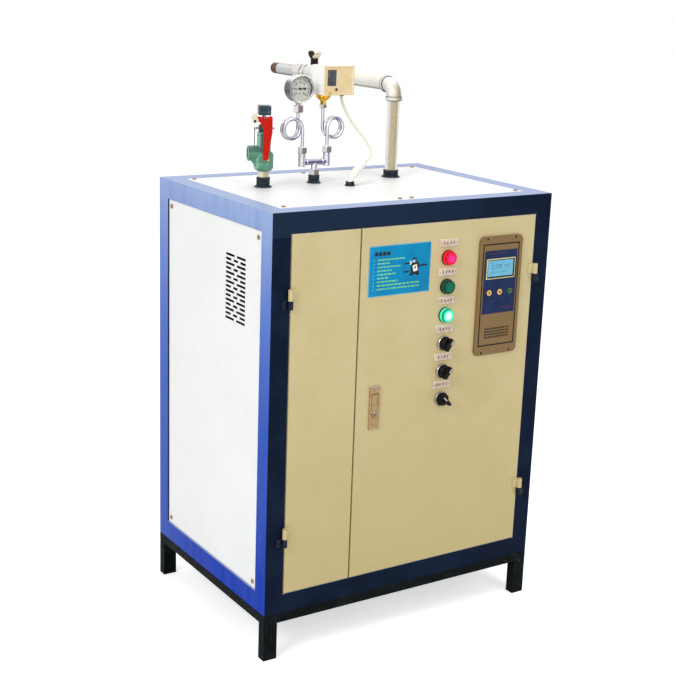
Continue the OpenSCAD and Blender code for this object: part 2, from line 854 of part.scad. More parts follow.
// Door as a folded pan
module door_pan(x, w) at(x, door_face, door_z) difference() {
    cube([w, door_depth, door_h]);
    translate([door_skin, door_skin, door_skin])
        cube([w - 2 * door_skin, door_depth, door_h - 2 * door_skin]);
}
module door_left() color(cream) difference() {
    union() {
        door_pan(tube + door_gap, left_door_w);
        for (z = [hinge_low_z, hinge_high_z]) door_knuckle(true, z);
    }
    for (z = [hinge_low_z, hinge_high_z]) door_knuckle_bore(true, z);
}
module door_right() color(cream) difference() {
    union() {
        door_pan(right_door_x, right_door_w);
        for (z = [hinge_low_z, hinge_high_z]) door_knuckle(false, z);
    }
    for (z = [hinge_low_z, hinge_high_z]) door_knuckle_bore(false, z);
    for (i = [0:5]) on_column(i) translate([0, 0, -door_skin - over])
        rod(control_hole_d, door_skin + 2 * over);
    at(ctrl_x, door_face - over, ctrl_z) to_back() linear_extrude(door_skin + 2 * over)
        square([housing_w + fit, housing_h + fit], center = true);
    at(lock_mid, door_face - over, lock_z) to_back() linear_extrude(door_skin + 2 * over)
        square([lock_body_w + fit, lock_body_h + fit], center = true);
}

// Places on the door, counted from the top, with z pointing out of the door's face
module on_column(i) at(column, door_face, column_top_z - i * column_pitch) to_front() children();
module control_bezels() color(steel) {
    for (i = [0:2]) on_column(i) ring(bezel_d, lamp_ring_hole_d, lamp_ring_h);
    for (i = [3:5]) on_column(i) ring(bezel_d, switch_ring_hole_d, switch_ring_h);
}
crown_share = 0.4;
module lens(i) on_column(i) rotate_extrude() {
    square([lens_d / 2, lens_h * (1 - crown_share)]);
    polygon([[0, lens_h * (1 - crown_share)], [lens_d / 2, lens_h * (1 - crown_share)],
        [lens_d / 2 - lens_h * crown_share / 2, lens_h * (1 - crown_share / 5)],
        [lens_d / 4, lens_h], [0, lens_h]]);
}
module lamp_lens_red() color("red") lens(0);
module lamp_lenses_green() color("green") {
    lens(1);
    lens(2);
}
// Knob with a fin, its pointer end up before it is turned
module selector_knob(i, angle) on_column(i) rotate([0, 0, angle]) {
    translate([0, 0, fit]) rod(knob_d, knob_h - fin_h - fit);
    translate([0, 0, -knob_shaft_l]) rod(knob_shaft_d, knob_shaft_l + over);
    translate([0, 0, knob_h - fin_h]) rotate([0, turn / 4, 0]) translate([0, 0, -fin_w / 2])
        linear_extrude(fin_w) polygon([[0, -knob_d / 2], [0, knob_d / 2],
            [-fin_flare, knob_d / 2 + fin_over], [-fin_h, knob_d / 2 + fin_over - fin_taper],
            [-fin_h, -knob_d / 2 - fin_over + fin_taper], [-fin_flare, -knob_d / 2 - fin_over]]);
}
module selector_knob_upper() color(black) selector_knob(3, -knob_rest);
module selector_knob_middle() color(black) selector_knob(4, -knob_rest);
module selector_knob_lower() color(black) selector_knob(5, turn / 8);
module control_rear_blocks() color(black) for (i = [0:5]) on_column(i) difference() {
    l = i < 3 ? lamp_block_l : switch_block_l;
    union() {
        translate([0, 0, -door_skin - nut_h]) rod(control_neck_d, door_skin + nut_h);
        translate([0, 0, -door_skin - nut_h]) rod(nut_d, nut_h);
        translate([-block_w / 2, -block_w / 2, -door_skin - nut_h - l]) cube([block_w, block_w, l]);
    }
    if (i > 2) translate([0, 0, -knob_shaft_l - fit])
        rod(knob_shaft_d + 2 * shaft_fit, knob_shaft_l + fit + over);
}
module label_plates() color(white) for (i = [0:5]) on_column(i)
    translate([0, label_rise, 0]) linear_extrude(label_t) square([label_w, label_h], center = true);
module instruction_plate() color([0, 0.53, 0.78]) at(right_door_x + plate_x, door_face - plate_t, plate_z)
    cube([plate_w, plate_t, plate_h]);

// Controller, with z pointing out of the door's face
module on_controller() at(ctrl_x, door_face, ctrl_z) to_front() children();
module key_places() for (i = [-1:1]) translate([key_side + i * key_step, key_row_z]) children();
module controller_bezel() color([0.58, 0.45, 0.32]) on_controller() difference() {
    linear_extrude(ctrl_t) difference() {
        round_plate(ctrl_w, ctrl_h, ctrl_corner);
        translate([0, display_z]) square([display_w, display_h], center = true);
        key_places() circle(d = key_d + 2 * fit);
    }
    translate([0, inner_drop, ctrl_t - groove_depth]) linear_extrude(groove_depth + over) difference() {
        round_plate(inner_w, inner_h, inner_corner);
        round_plate(inner_w - 2 * groove_w, inner_h - 2 * groove_w, inner_corner - groove_w);
    }
    translate([0, 0, ctrl_t - groove_depth]) linear_extrude(groove_depth + over) {
        for (c = [0:grille_cols - 1], r = [0:grille_rows - 1])
            translate([(c - (grille_cols - 1) / 2) * grille_step_x,
                grille_z + (r - (grille_rows - 1) / 2) * grille_step_z]) square(grille_hole, center = true);
        for (x = [-1, 1], y = [-1, 1]) translate([x * ctrl_screw_x, y * ctrl_screw_z])
            circle(d = ctrl_screw_d);
    }
}
module controller_membrane() color([0.15, 0.2, 0.42]) on_controller() translate([0, 0, ctrl_t])
    linear_extrude(membrane_t) difference() {
        translate([0, membrane_z]) square([membrane_w, membrane_h], center = true);
        translate([0, display_z]) square([display_w + 2 * fit, display_h + 2 * fit], center = true);
        key_places() circle(d = key_d + 2 * fit);
    }
module controller_display() color([0.5, 0.8, 0.92]) on_controller()
    linear_extrude(ctrl_t + membrane_t + display_rise)
        translate([0, display_z]) square([display_w, display_h], center = true);
module controller_key(i) on_controller() translate([key_side + i * key_step, key_row_z, 0])
    translate([0, 0, ctrl_t + membrane_t + key_rise - key_h]) rod(key_d, key_h);
module controller_key_left() color([0.88, 0.7, 0.35]) controller_key(-1);
module controller_key_middle() color([0.88, 0.7, 0.35]) controller_key(0);
module controller_key_right() color([0.27, 0.47, 0.24]) controller_key(1);
module controller_housing() color(black) on_controller() translate([0, 0, -housing_d]) difference() {
    linear_extrude(housing_d) square([housing_w, housing_h], center = true);
    translate([0, 0, housing_wall]) linear_extrude(housing_d)
        square([housing_w - 2 * housing_wall, housing_h - 2 * housing_wall], center = true);
}

// Lock, with z pointing out of the door's face
module on_lock() at(lock_mid, door_face, lock_z) to_front() children();
lever_axis_z = lever_top - lever_eye_d / 2;
module lock_plate() color([0.75, 0.63, 0.43]) on_lock() difference() {
    union() {
        linear_extrude(lock_t) round_plate(lock_w, lock_h, lock_corner);
        translate([0, 0, -lock_body_d]) linear_extrude(lock_body_d)
            square([lock_body_w, lock_body_h], center = true);
        translate([0, -tongue_drop, -door_depth - tongue_behind - tongue_t])
            rod(tongue_pin_d, door_depth + tongue_behind + tongue_t - lock_body_d + over);
    }
    // Recess of the lever, with the sockets of its pin
    translate([-lever_w / 2 - fit, lever_top - lever_l - fit, lock_t - lever_t - fit])
        cube([lever_w + 2 * fit, lever_l + 2 * fit, lever_t + fit + over]);
    translate([-lever_w / 2 - over - fit, lever_axis_z, lock_t - lever_t / 2]) to_right()
        rod(lever_pin_d + 2 * shaft_fit, lever_w + 2 * over + 2 * fit);
    translate([0, -lock_button_drop, -lock_button_travel - fit])
        rod(lock_button_d + 2 * fit, lock_t + lock_button_travel + fit + over);
}
module lock_lever() color([0.72, 0.6, 0.42]) on_lock() {
    translate([-lever_w / 2, lever_top - lever_l, lock_t - lever_t])
        cube([lever_w, lever_l + lever_axis_z - lever_top, lever_t]);
    translate([-lever_w / 2 - over, lever_axis_z, lock_t - lever_t / 2]) to_right()
        rod(lever_pin_d, lever_w + 2 * over);
    translate([-lever_w / 2, lever_axis_z, lock_t - lever_t / 2]) to_right() rod(lever_t, lever_w);
}
module lock_button() color(steel) on_lock() translate([0, -lock_button_drop, 0])
    rod(lock_button_d, lock_button_h);
module lock_tongue() color(steel) on_lock()
    translate([0, -tongue_drop, -door_depth - tongue_behind - tongue_t + over]) difference() {
        union() {
            rod(tongue_w, tongue_t);
            translate([-tongue_reach, -tongue_w / 2, 0]) cube([tongue_reach, tongue_w, tongue_t]);
        }
        translate([0, 0, -over]) rod(tongue_pin_d + 2 * shaft_fit, tongue_t + 2 * over);
    }

// Rubber collars round the nozzles, and the cable's gland
module collar(size, bore) difference() {
    union() {
        rod(size[1], collar_flange_t);
        rod(size[0], size[2]);
    }
    translate([0, 0, -over]) rod(bore + 2 * fit, size[2] + 2 * over);
}
module rubber_collars() color(black) {
    at(sv_x, sv_y, top_face) collar(sv_collar, sv_stub_d);
    at(siphon_x, siphon_y, top_face) collar(siphon_collar, siphon_stub_d);
    at(pipe_x, pipe_y, top_face) collar(pipe_collar, pipe_d);
    at(gland_x, gland_y, top_face) difference() {
        union() {
            rod(gland_d, gland_flange_t);
            rod(gland_cap_d, gland_h);
        }
        translate([0, 0, -over]) rod(gland_bore_d, gland_h + 2 * over);
        for (i = [0:gland_teeth - 1]) rotate([0, 0, turn * i / gland_teeth])
            translate([0, -gland_slit / 2, gland_flange_t]) cube([gland_d, gland_slit, gland_h]);
    }
}

// Siphon: stub, cross bar, two branches with their nuts, and the nuts above the coils
module siphon_fittings() color(steel) {
    at(siphon_x, siphon_y, siphon_stub_z) {
        hexagon(siphon_hex_d, siphon_hex_h);
        rod(siphon_stem_d, siphon_bar_z - siphon_stub_z);
    }
    at(siphon_left_x, siphon_y, siphon_bar_z) to_right() rod(siphon_bar_d, 2 * siphon_half);
    for (x = [siphon_left_x, siphon_right_x]) at(x, siphon_y, siphon_bar_z - siphon_branch_drop) {
        rod(siphon_branch_d, siphon_branch_h);
        translate([0, 0, siphon_branch_h]) hexagon(branch_nut_d, branch_nut_h);
    }
    at(siphon_left_x, exit_y, gauge_nut_z) hexagon(gauge_nut_d, gauge_nut_h);
    at(siphon_right_x, exit_y, switch_nut_z) hexagon(switch_nut_d, switch_nut_h);
}
// Coil about a level axis; side is 1 where it lies to the right of its tube
function coil_points(x, side, top) = concat(
    [[x, siphon_y, siphon_start_z], [x, siphon_y, siphon_start_z + siphon_tube_d]],
    [for (i = [0:siphon_turns * siphon_loop_steps]) let (a = turn * i / siphon_loop_steps)
        [x + side * siphon_coil_r * (1 - cos(a)), siphon_y + siphon_pitch * i / siphon_loop_steps,
            coil_z + siphon_coil_r * sin(a)]],
    [[x, exit_y, top - siphon_tube_d], [x, exit_y, top]]);
left_coil = coil_points(siphon_left_x, -1, gauge_nut_z);
right_coil = coil_points(siphon_right_x, 1, switch_nut_z);
function same(p, r) = [for (q = p) r];
module siphon_gauge_side() color(steel) at(0, 0, 0)
    swept_tube(left_coil, same(left_coil, siphon_tube_d / 2), siphon_sides, [1, 0, 0]);
module siphon_switch_side() color(steel) at(0, 0, 0)
    swept_tube(right_coil, same(right_coil, siphon_tube_d / 2), siphon_sides, [1, 0, 0]);
// Least gap of a coil to itself, between points more than half a turn apart
half_loop = siphon_loop_steps / 2;
function self_gap(p) = min([for (i = [0:len(p) - 1], j = [0:len(p) - 1])
    if (j > i + half_loop) norm(p[i] - p[j]) - siphon_tube_d]);
echo(siphon_least_gap = self_gap(left_coil));

// Pressure gauge, its face towards the front
gauge_face_y = exit_y - gauge_depth / 2;
module on_gauge() at(siphon_left_x, gauge_face_y, gauge_z) children();
module gauge_case() color(steel) difference() {
    union() {
        on_gauge() to_back() rod(gauge_d - 2 * gauge_rim_w, gauge_depth);
        on_gauge() to_back() rod(gauge_d, gauge_rim_h);
        at(siphon_left_x, exit_y, gauge_nut_z + gauge_nut_h)
            rod(gauge_stem_d, gauge_z - gauge_nut_z - gauge_nut_h - gauge_d / 4);
    }
    on_gauge() translate([0, -over, 0]) to_back()
        rod(gauge_d - 4 * gauge_rim_w, gauge_depth - gauge_wall + over);
}
module gauge_dial() color(white) on_gauge() translate([0, dial_depth, 0]) to_back() difference() {
    rod(gauge_d - 4 * gauge_rim_w, dial_t);
    translate([0, 0, -over]) rod(needle_pin_d + 2 * shaft_fit, dial_t + 2 * over);
}
// Needle pointing left, on a pin that runs in the dial
module gauge_needle() color(black) on_gauge() translate([0, dial_depth - 1.5 * needle_t - fit, 0]) {
    to_back() rod(needle_hub_d, needle_t);
    to_back() rod(needle_pin_d, 1.5 * needle_t + fit + dial_t + over);
    translate([-needle_l, 0, -needle_w / 2]) cube([needle_l, needle_t, needle_w]);
    translate([0, 0, -needle_w]) cube([needle_tail, needle_t, 2 * needle_w]);
}
module gauge_glass() color([0.8, 0.9, 0.9, 0.3]) on_gauge() translate([0, glass_depth, 0]) to_back()
    rod(gauge_d - 4 * gauge_rim_w, glass_t);

// Pressure switch: box with its window, and the bellows below it
module switch_box() color([0.91, 0.84, 0.65]) at(switch_x, switch_y, switch_z) difference() {
    cube([switch_w, switch_d, switch_h]);
    translate([switch_window_x, -over, switch_window_z])
        cube([switch_window_w, switch_window_depth + over, switch_window_h]);
}
module switch_bellows() color(brass) at(siphon_right_x, exit_y, switch_z) mirror([0, 0, 1]) {
    rod(bellows_d, bellows_flange_t);
    translate([0, 0, bellows_flange_t])
        cylinder(d1 = bellows_d - 2, d2 = bellows_neck_d, h = bellows_cone_h);
    translate([0, 0, bellows_flange_t + bellows_cone_h]) hexagon(bellows_neck_d, bellows_neck_h);
}
module switch_cable() color(white) at(0, 0, top_face)
    swept_tube(cable_route, same(cable_route, cable_d / 2), cable_sides, [1, 0, 0]);
module cable_sleeve() color(white) at(0, 0, top_face)
    swept_tube(sleeve_route, sleeve_r, cable_sides, [0, 0, 1]);

// Steam pipes: riser, level run to the outlet valve, and the threaded pipe behind it
drum_nozzle_z = drum_z + drum_r - nozzle_wall;
riser_z = drum_nozzle_z + nozzle_h;
run_end_y = outlet_valve_y - valve_half;
union_y = outlet_valve_y + valve_half + union_gap;
nipple_y = union_y + union_l;
module bored_rod(d, wall, l) ring(d, d - 2 * wall, l);
module steam_pipes() color(steel) {
    at(pipe_x, pipe_y, riser_z) bored_rod(pipe_d, pipe_wall, pipe_run_z - elbow_reach - riser_z);
    at(pipe_x, pipe_y + elbow_reach, pipe_run_z) to_back()
        bored_rod(pipe_d, pipe_wall, run_end_y - pipe_y - elbow_reach);
    at(pipe_x, nipple_y, pipe_run_z) to_back() {
        bored_rod(pipe_d, pipe_wall, outlet_nipple_l - outlet_thread_l);
        translate([0, 0, outlet_nipple_l - outlet_thread_l - weld_gap])
            ring(outlet_thread_d, pipe_d - 2 * pipe_wall, outlet_thread_l + weld_gap);
    }
}
module elbow_solid(d, band_d, stretch) {
    translate([0, elbow_r, -elbow_r]) rotate([turn / 4, 0, turn / 4]) rotate([0, 0, turn / 4])
        rotate_extrude(angle = turn / 4) translate([elbow_r, 0]) circle(d = d);
    translate([0, 0, -elbow_reach - stretch]) rod(d, elbow_reach - elbow_r + stretch);
    translate([0, elbow_r, 0]) to_back() rod(d, elbow_reach - elbow_r + stretch);
    if (band_d > 0) {
        translate([0, 0, -elbow_reach]) rod(band_d, elbow_band_h);
        translate([0, elbow_reach - elbow_band_h, 0]) to_back() rod(band_d, elbow_band_h);
    }
}
module steam_elbow() color(steel) at(pipe_x, pipe_y, pipe_run_z) difference() {
    elbow_solid(elbow_d - elbow_wall / 2, elbow_d + elbow_wall / 2, 0);
    elbow_solid(pipe_d - 2 * pipe_wall, 0, over);
}

// Ball valve in the steam pipe, its union nut behind it, and its butterfly handle
module outlet_valve_body() color(steel) {
    at(pipe_x, run_end_y, pipe_run_z) difference() {
        union() {
            to_back() hexagon(valve_hex_af, valve_hex_l);
            translate([0, 2 * valve_half - valve_hex_l, 0]) to_back() hexagon(valve_hex_af, valve_hex_l);
            to_back() rod(valve_hex_af - 2 * fit, 2 * valve_half);
            translate([0, valve_half, 0]) sphere(d = valve_belly_d);
            translate([0, valve_half, 0]) rod(valve_gland_d, valve_belly_d / 2 + valve_gland_h);
        }
        translate([0, -over, 0]) to_back() rod(valve_bore_d, 2 * valve_half + 2 * over);
        translate([0, valve_half, 0]) sphere(d = valve_ball_d + 2 * shaft_fit);
        translate([0, valve_half, 0]) rod(valve_stem_d + 2 * shaft_fit, valve_belly_d + valve_gland_h);
    }
    at(pipe_x, union_y - union_gap, pipe_run_z) difference() {
        union() {
            to_back() rod(pipe_d, union_gap + over);
            translate([0, union_gap, 0]) to_back() hexagon(valve_hex_af, union_l);
        }
        translate([0, -over, 0]) to_back() rod(valve_bore_d, union_l + union_gap + 2 * over);
    }
}
handle_z = valve_belly_d / 2 + valve_gland_h + fit;
module wing() rotate([handle_wing_tilt, 0, 0]) translate([-handle_wing_w / 2, 0, -handle_wing_t / 2])
    cube([handle_wing_w, handle_wing_l, handle_wing_t]);
module outlet_valve_handle() color([0.24, 0.14, 0.1]) at(pipe_x, outlet_valve_y, pipe_run_z) difference() {
    union() {
        sphere(d = valve_ball_d);
        rod(valve_stem_d, handle_z + handle_hub_h);
        translate([0, 0, handle_z]) rod(handle_hub_d, handle_hub_h);
        for (a = [0, turn / 2]) rotate([0, 0, a])
            translate([0, handle_hub_d / 4, handle_z + handle_hub_h - handle_wing_t / 2]) wing();
    }
    translate([0, -valve_ball_d, 0]) to_back() rod(valve_bore_d, 2 * valve_ball_d);
}

// Safety valve
module sv_at(z) at(sv_x, sv_y, z) children();
module sv_turned(z) sv_at(z) rotate([0, 0, -sv_lever_turn]) children();
sv_shoulder_share = 0.15;
module safety_valve_body() color(green) difference() {
    union() {
        sv_at(sv_hex_z) hexagon(sv_hex_af, sv_hex_h);
        sv_at(sv_body_z) rotate_extrude() polygon([[0, 0], [sv_bonnet_d / 2, 0],
            [sv_body_d / 2, sv_body_h * sv_shoulder_share],
            [sv_body_d / 2, sv_body_h * (1 - sv_shoulder_share)], [sv_bonnet_d / 2, sv_body_h],
            [sv_bonnet_d / 2, sv_body_h + sv_bonnet_h], [sv_neck_d / 2, sv_body_h + sv_bonnet_h],
            [sv_neck_d / 2, sv_body_h + sv_bonnet_h + sv_neck_h],
            [0, sv_body_h + sv_bonnet_h + sv_neck_h]]);
        sv_turned(sv_body_z + sv_port_rise) rotate([0, -turn / 4, 0]) rod(sv_port_d, sv_port_reach);
        sv_turned(sv_body_z) translate([0, sv_skirt_w / 2, 0]) to_front() linear_extrude(sv_skirt_w)
            polygon([[0, sv_skirt_low], [-sv_skirt_foot, sv_skirt_low],
                [-sv_port_reach + sv_skirt_in, sv_port_rise - sv_port_d / 2 + sv_skirt_low],
                [-sv_port_reach + sv_skirt_in, sv_port_rise], [0, sv_port_rise]]);
        sv_turned(sv_port_top - 2 * over) translate([-sv_wire_left, 0, 0])
            rod(sv_wire_d, sv_pin_z - sv_port_top + 2 * over);
        sv_turned(sv_pin_z) translate([-sv_pin_l / 2, 0, 0]) to_right() rod(sv_pin_d, sv_pin_l);
    }
    sv_at(sv_hex_z - over) rod(sv_stub_d - 2 * pipe_wall,
        sv_hex_h + sv_port_rise + sv_stub_d / 2 + over);
    sv_turned(sv_body_z + sv_port_rise) rotate([0, -turn / 4, 0]) {
        rod(sv_way_d, sv_port_reach + over);
        translate([0, 0, sv_port_reach - sv_port_bore_l]) rod(sv_port_bore_d, sv_port_bore_l + over);
    }
    sv_at(sv_bonnet_z + sv_bonnet_h / 2) rod(sv_spindle_d + 2 * shaft_fit, sv_bonnet_h + sv_neck_h);
}
module safety_valve_spindle() color([0.05, 0.25, 0.28]) {
    sv_at(sv_bonnet_z + sv_bonnet_h / 2 + fit)
        rod(sv_spindle_d, sv_cap_z - sv_bonnet_z - sv_bonnet_h / 2);
    sv_turned(sv_cap_z) linear_extrude(sv_cap_h)
        round_plate(sv_cap_w, sv_cap_w, sv_cap_corner);
}
// Lever in front of the valve, on the pin through the neck. Its left arm is bent out to the side
// and carries the seal
module lever_outline() {
    polygon([[sv_notch_right, sv_lever_up], [sv_cheek_in + sv_cheek_t, sv_lever_up],
        [sv_cheek_in + sv_cheek_t, -sv_cheek_down],
        [sv_lever_tip_w / 2, -sv_lever_down + sv_lever_tip_w / 2],
        [-sv_lever_tip_w / 2, -sv_lever_down + sv_lever_tip_w / 2], [-sv_strip_left, -sv_arm_low],
        [-sv_arm_left, sv_lever_up], [-sv_notch_left, sv_lever_up], [-sv_notch_x, sv_notch_low]]);
    translate([0, -sv_lever_down + sv_lever_tip_w / 2]) circle(d = sv_lever_tip_w);
}
module safety_valve_lever() color([0.85, 0.15, 0.08]) sv_turned(sv_pin_z) {
    difference() {
        union() {
            intersection() {
                translate([-sv_lever_half, 0, 0]) to_right() linear_extrude(2 * sv_lever_half)
                    polygon([[-sv_lever_up, -sv_lever_in], [-sv_lever_up, -sv_lever_in - sv_lever_t],
                        [sv_lever_down, -sv_lever_in - sv_lever_lean - sv_lever_t],
                        [sv_lever_down, -sv_lever_in - sv_lever_lean]]);
                translate([0, over, 0]) to_front() linear_extrude(2 * sv_body_d) lever_outline();
            }
            translate([sv_cheek_in, -sv_lever_in - sv_lever_t, -sv_cheek_down])
                cube([sv_cheek_t, sv_lever_in + sv_lever_t + sv_cheek_back,
                    sv_cheek_up + sv_cheek_down]);
            translate([sv_cheek_in, -sv_prong_w / 2, 0]) cube([sv_cheek_t, sv_prong_w, sv_lever_up]);
            translate([-sv_cheek_in - sv_cheek_t, -sv_lever_in - sv_lever_t / 2,
                sv_lever_up - sv_prong_w])
                cube([sv_cheek_t, sv_lever_in + sv_lever_t / 2 + sv_prong_w / 2, sv_prong_w]);
        }
        translate([-sv_pin_l / 2, 0, 0]) to_right() rod(sv_pin_d + 2 * shaft_fit, sv_pin_l);
    }
    translate([-sv_seal_left, -sv_seal_in + sv_seal_t, sv_seal_rise]) to_front()
        linear_extrude(sv_seal_t) difference() {
            round_plate(sv_seal_w, sv_seal_h, sv_seal_corner);
            translate([0, -sv_seal_hole_drop]) circle(d = sv_seal_hole_d);
        }
}

// Boiler drum with its nozzles and two saddles, welded into one vessel
module drum_shape(r, l, end) rotate_extrude() {
    translate([0, -l / 2]) square([r - end, l]);
    translate([0, -l / 2 + end]) square([r, l - 2 * end]);
    for (y = [-l / 2 + end, l / 2 - end]) translate([r - end, y]) circle(end);
}
module drum_at() at(drum_x + drum_l / 2, drum_y, drum_z) to_right() children();
module saddle() translate([drum_l / 2 - saddle_in - saddle_t, -saddle_w / 2, 0]) difference() {
    union() {
        cube([saddle_t, saddle_w, drum_z - floor_z]);
        cube([saddle_foot_w, saddle_w, saddle_t]);
    }
    translate([-over, (saddle_w - saddle_cut_w) / 2, -over])
        cube([saddle_foot_w + 2 * over, saddle_cut_w, drum_z - drum_r - 2 * tube]);
}
module boiler_drum() color(steel) difference() {
    union() {
        drum_at() drum_shape(drum_r, drum_l, drum_end_r);
        drum_at() translate([0, 0, drum_l / 2 - over]) rod(heater_neck_d, heater_neck_l + over);
        at(sv_x, sv_y, drum_z) rod(sv_stub_d, sv_hex_z - drum_z);
        at(siphon_x, siphon_y, drum_z) rod(siphon_stub_d, siphon_stub_z - drum_z);
        at(pipe_x, pipe_y, drum_z) rod(nozzle_d, riser_z - drum_z);
        at(drum_x + drum_l / 2, drum_y, floor_z) for (side = [-1, 1]) scale([side, 1, 1]) saddle();
    }
    drum_at() drum_shape(drum_r - drum_wall, drum_l - 2 * drum_wall, drum_end_r - drum_wall);
    drum_at() translate([0, 0, drum_l / 2 - drum_wall - over])
        rod(heater_neck_d - 2 * drum_wall, heater_neck_l + drum_wall + 2 * over);
    at(sv_x, sv_y, drum_z) rod(sv_stub_d - 2 * pipe_wall, cab_h);
    at(siphon_x, siphon_y, drum_z) rod(siphon_stub_d - 2 * pipe_wall, cab_h);
    at(pipe_x, pipe_y, drum_z) rod(nozzle_d - 2 * nozzle_wall, cab_h);
}
// Flange with hairpin elements that reach into the drum, and their terminals
module heating_elements() color(brass) drum_at() translate([0, 0, drum_l / 2 + heater_neck_l]) {
    rod(heater_flange_d, heater_flange_t);
    for (i = [0:heater_count - 1]) rotate([0, 0, turn * i / heater_count]) {
        for (r = [heater_ring_r / 2, heater_ring_r]) translate([r, 0, -heater_rod_l])
            rod(heater_rod_d, heater_rod_l + heater_flange_t + heater_stud_l);
        translate([heater_ring_r / 2, 0, -heater_rod_l]) to_right()
            rod(heater_rod_d, heater_ring_r / 2);
        for (r = [heater_ring_r / 2, heater_ring_r]) translate([r, 0, -heater_rod_l])
            sphere(d = heater_rod_d);
    }
}

// Feed water: tank, pump with its rotor, pipes
module water_tank() color([0.8, 0.82, 0.85]) {
    at(tank_x, tank_y, floor_z) difference() {
        cube([tank_l, tank_w, tank_h]);
        translate([tank_wall, tank_wall, tank_wall])
            cube([tank_l - 2 * tank_wall, tank_w - 2 * tank_wall, tank_h]);
    }
    at(tank_x, tank_y, floor_z + tank_h) translate([0, 0, weld_gap])
        cube([tank_l, tank_w, tank_lid_t]);
}
module pump_at(x) at(tank_x - suction_l - x, pump_y, pump_z) rotate([0, -turn / 4, 0]) children();
module feed_pump() color([0.2, 0.35, 0.6]) difference() {
    union() {
        pump_at(volute_l - volute_rim) rod(motor_d, motor_l + volute_rim);
        pump_at(0) rod(volute_d, volute_l);
        at(tank_x - suction_l - volute_l - motor_l + volute_rim, pump_y - motor_base_w / 2, floor_z)
            cube([motor_l - 2 * volute_rim, motor_base_w, motor_base_h + pump_axis_h - motor_d / 2]);
        at(outlet_x, pump_y, pump_z) rod(water_d + 2 * water_wall, volute_d / 2 + volute_rim);
    }
    pump_at(volute_wall) rod(impeller_d + 2 * fit, volute_l - 2 * volute_wall);
    pump_at(-over) rod(water_d - 2 * water_wall, volute_l / 2);
    pump_at(volute_wall) rod(rotor_shaft_d + 2 * shaft_fit, motor_l);
    at(outlet_x, pump_y, pump_z) rod(water_d - 2 * water_wall, volute_d);
}
module pump_rotor() color(steel) difference() {
    pump_at((volute_l - impeller_l) / 2) {
        rod(impeller_d, impeller_l);
        rod(rotor_shaft_d, rotor_l);
    }
    for (i = [0:impeller_ports - 1]) pump_at((volute_l - impeller_l) / 2 - over)
        rotate([0, 0, turn * i / impeller_ports]) translate([impeller_d / 3, 0, 0])
            rod(impeller_port_d, impeller_l + 2 * over);
}
// Pipe of straight pieces with round corners, and its bore
module run(p, d) {
    for (i = [0:len(p) - 2]) segment(p[i], p[i + 1], d);
    if (len(p) > 2) for (i = [1:len(p) - 2]) translate(p[i]) sphere(d = d);
}
module segment(a, b, d) translate(a) {
    v = b - a;
    rotate([0, acos(v[2] / norm(v)), atan2(v[1], v[0])]) rod(d, norm(v));
}
function stretched(p) = let (n = len(p) - 1) concat([p[0] + over * unit(p[0] - p[1])],
    [for (i = [1:1:n - 1]) p[i]], [p[n] + over * unit(p[n] - p[n - 1])]);
module water_run(p) difference() {
    run(p, water_d);
    run(stretched(p), water_d - 2 * water_wall);
}
module water_pipes() color([0.75, 0.5, 0.35]) at(0, 0, 0) {
    // Tank to pump
    water_run([[tank_x, pump_y, pump_z], [tank_x - suction_l, pump_y, pump_z]]);
    // Pump to drum, through a check valve
    feed_low = pump_z + volute_d / 2 + volute_rim;
    difference() {
        union() {
            run([[outlet_x, pump_y, feed_low], [outlet_x, pump_y, drum_z - drum_r]], water_d);
            translate([outlet_x, pump_y, feed_low + check_rise]) hexagon(check_af, check_l);
        }
        run(stretched([[outlet_x, pump_y, feed_low], [outlet_x, pump_y, drum_z - drum_r]]),
            water_d - 2 * water_wall);
    }
    // Inlet through the back panel to the tank
    water_run([[inlet_x, cab_d + inlet_out, inlet_z], [inlet_x, tank_y + tank_w, inlet_z]]);
    // Drain from the drum's bottom down and out through the back panel, with the drain valve's body
    drain_path = [[drain_x, drum_y, drum_z - drum_r], [drain_x, drum_y, drain_high_z],
        [drain_x, cab_d - 2 * tube, drain_high_z], [drain_x, cab_d - 2 * tube, drain_z],
        [drain_x, cab_d + drain_out, drain_z]];
    difference() {
        union() {
            run(drain_path, water_d);
            translate([drain_x, drain_valve_y - drain_valve_l / 2, drain_z]) to_back()
                hexagon(drain_valve_af, drain_valve_l);
            translate([drain_x, drain_valve_y, drain_z]) rod(drain_gland_d, drain_gland_h);
        }
        run(stretched(drain_path), water_d - 2 * water_wall);
        translate([drain_x, drain_valve_y, drain_z])
            rod(drain_stem_d + 2 * shaft_fit, drain_gland_h + over);
    }
}
// Handle of the drain valve, across the pipe where the valve is shut
module drain_valve_handle() color([0.7, 0.12, 0.1]) at(drain_x, drain_valve_y, drain_z) {
    translate([0, 0, drain_gland_h - drain_stem_l]) rod(drain_stem_d, drain_stem_l + drain_lever_t);
    translate([0, 0, drain_gland_h + fit]) {
        rod(drain_lever_w, drain_lever_t);
        translate([-drain_lever_l, -drain_lever_w / 2, 0])
            cube([drain_lever_l, drain_lever_w, drain_lever_t]);
    }
}

// Electrical parts
module electrical_plate() color(steel) at(eplate_x, eplate_y, floor_z) {
    cube([eplate_w, eplate_t, eplate_z + eplate_h - floor_z]);
    cube([eplate_w, eplate_foot, eplate_t]);
}
module switchgear() color(black) {
    high_z = eplate_z + eplate_h / 2;
    for (i = [0:contactor_count - 1])
        at(eplate_x + eplate_foot + i * contactor_step, eplate_y - contactor_d, high_z) {
            cube([contactor_w, contactor_d, contactor_h * contactor_mid_share]);
            translate([0, contactor_d / 3, 0]) cube([contactor_w, contactor_d * 2 / 3, contactor_h]);
        }
    at(eplate_x + eplate_foot + contactor_count * contactor_step, eplate_y - breaker_d, high_z)
        cube([breaker_w, breaker_d, breaker_h]);
    at(eplate_x + eplate_foot, eplate_y - terminal_d, eplate_z + terminal_rise)
        cube([terminal_w, terminal_d, terminal_h]);
}

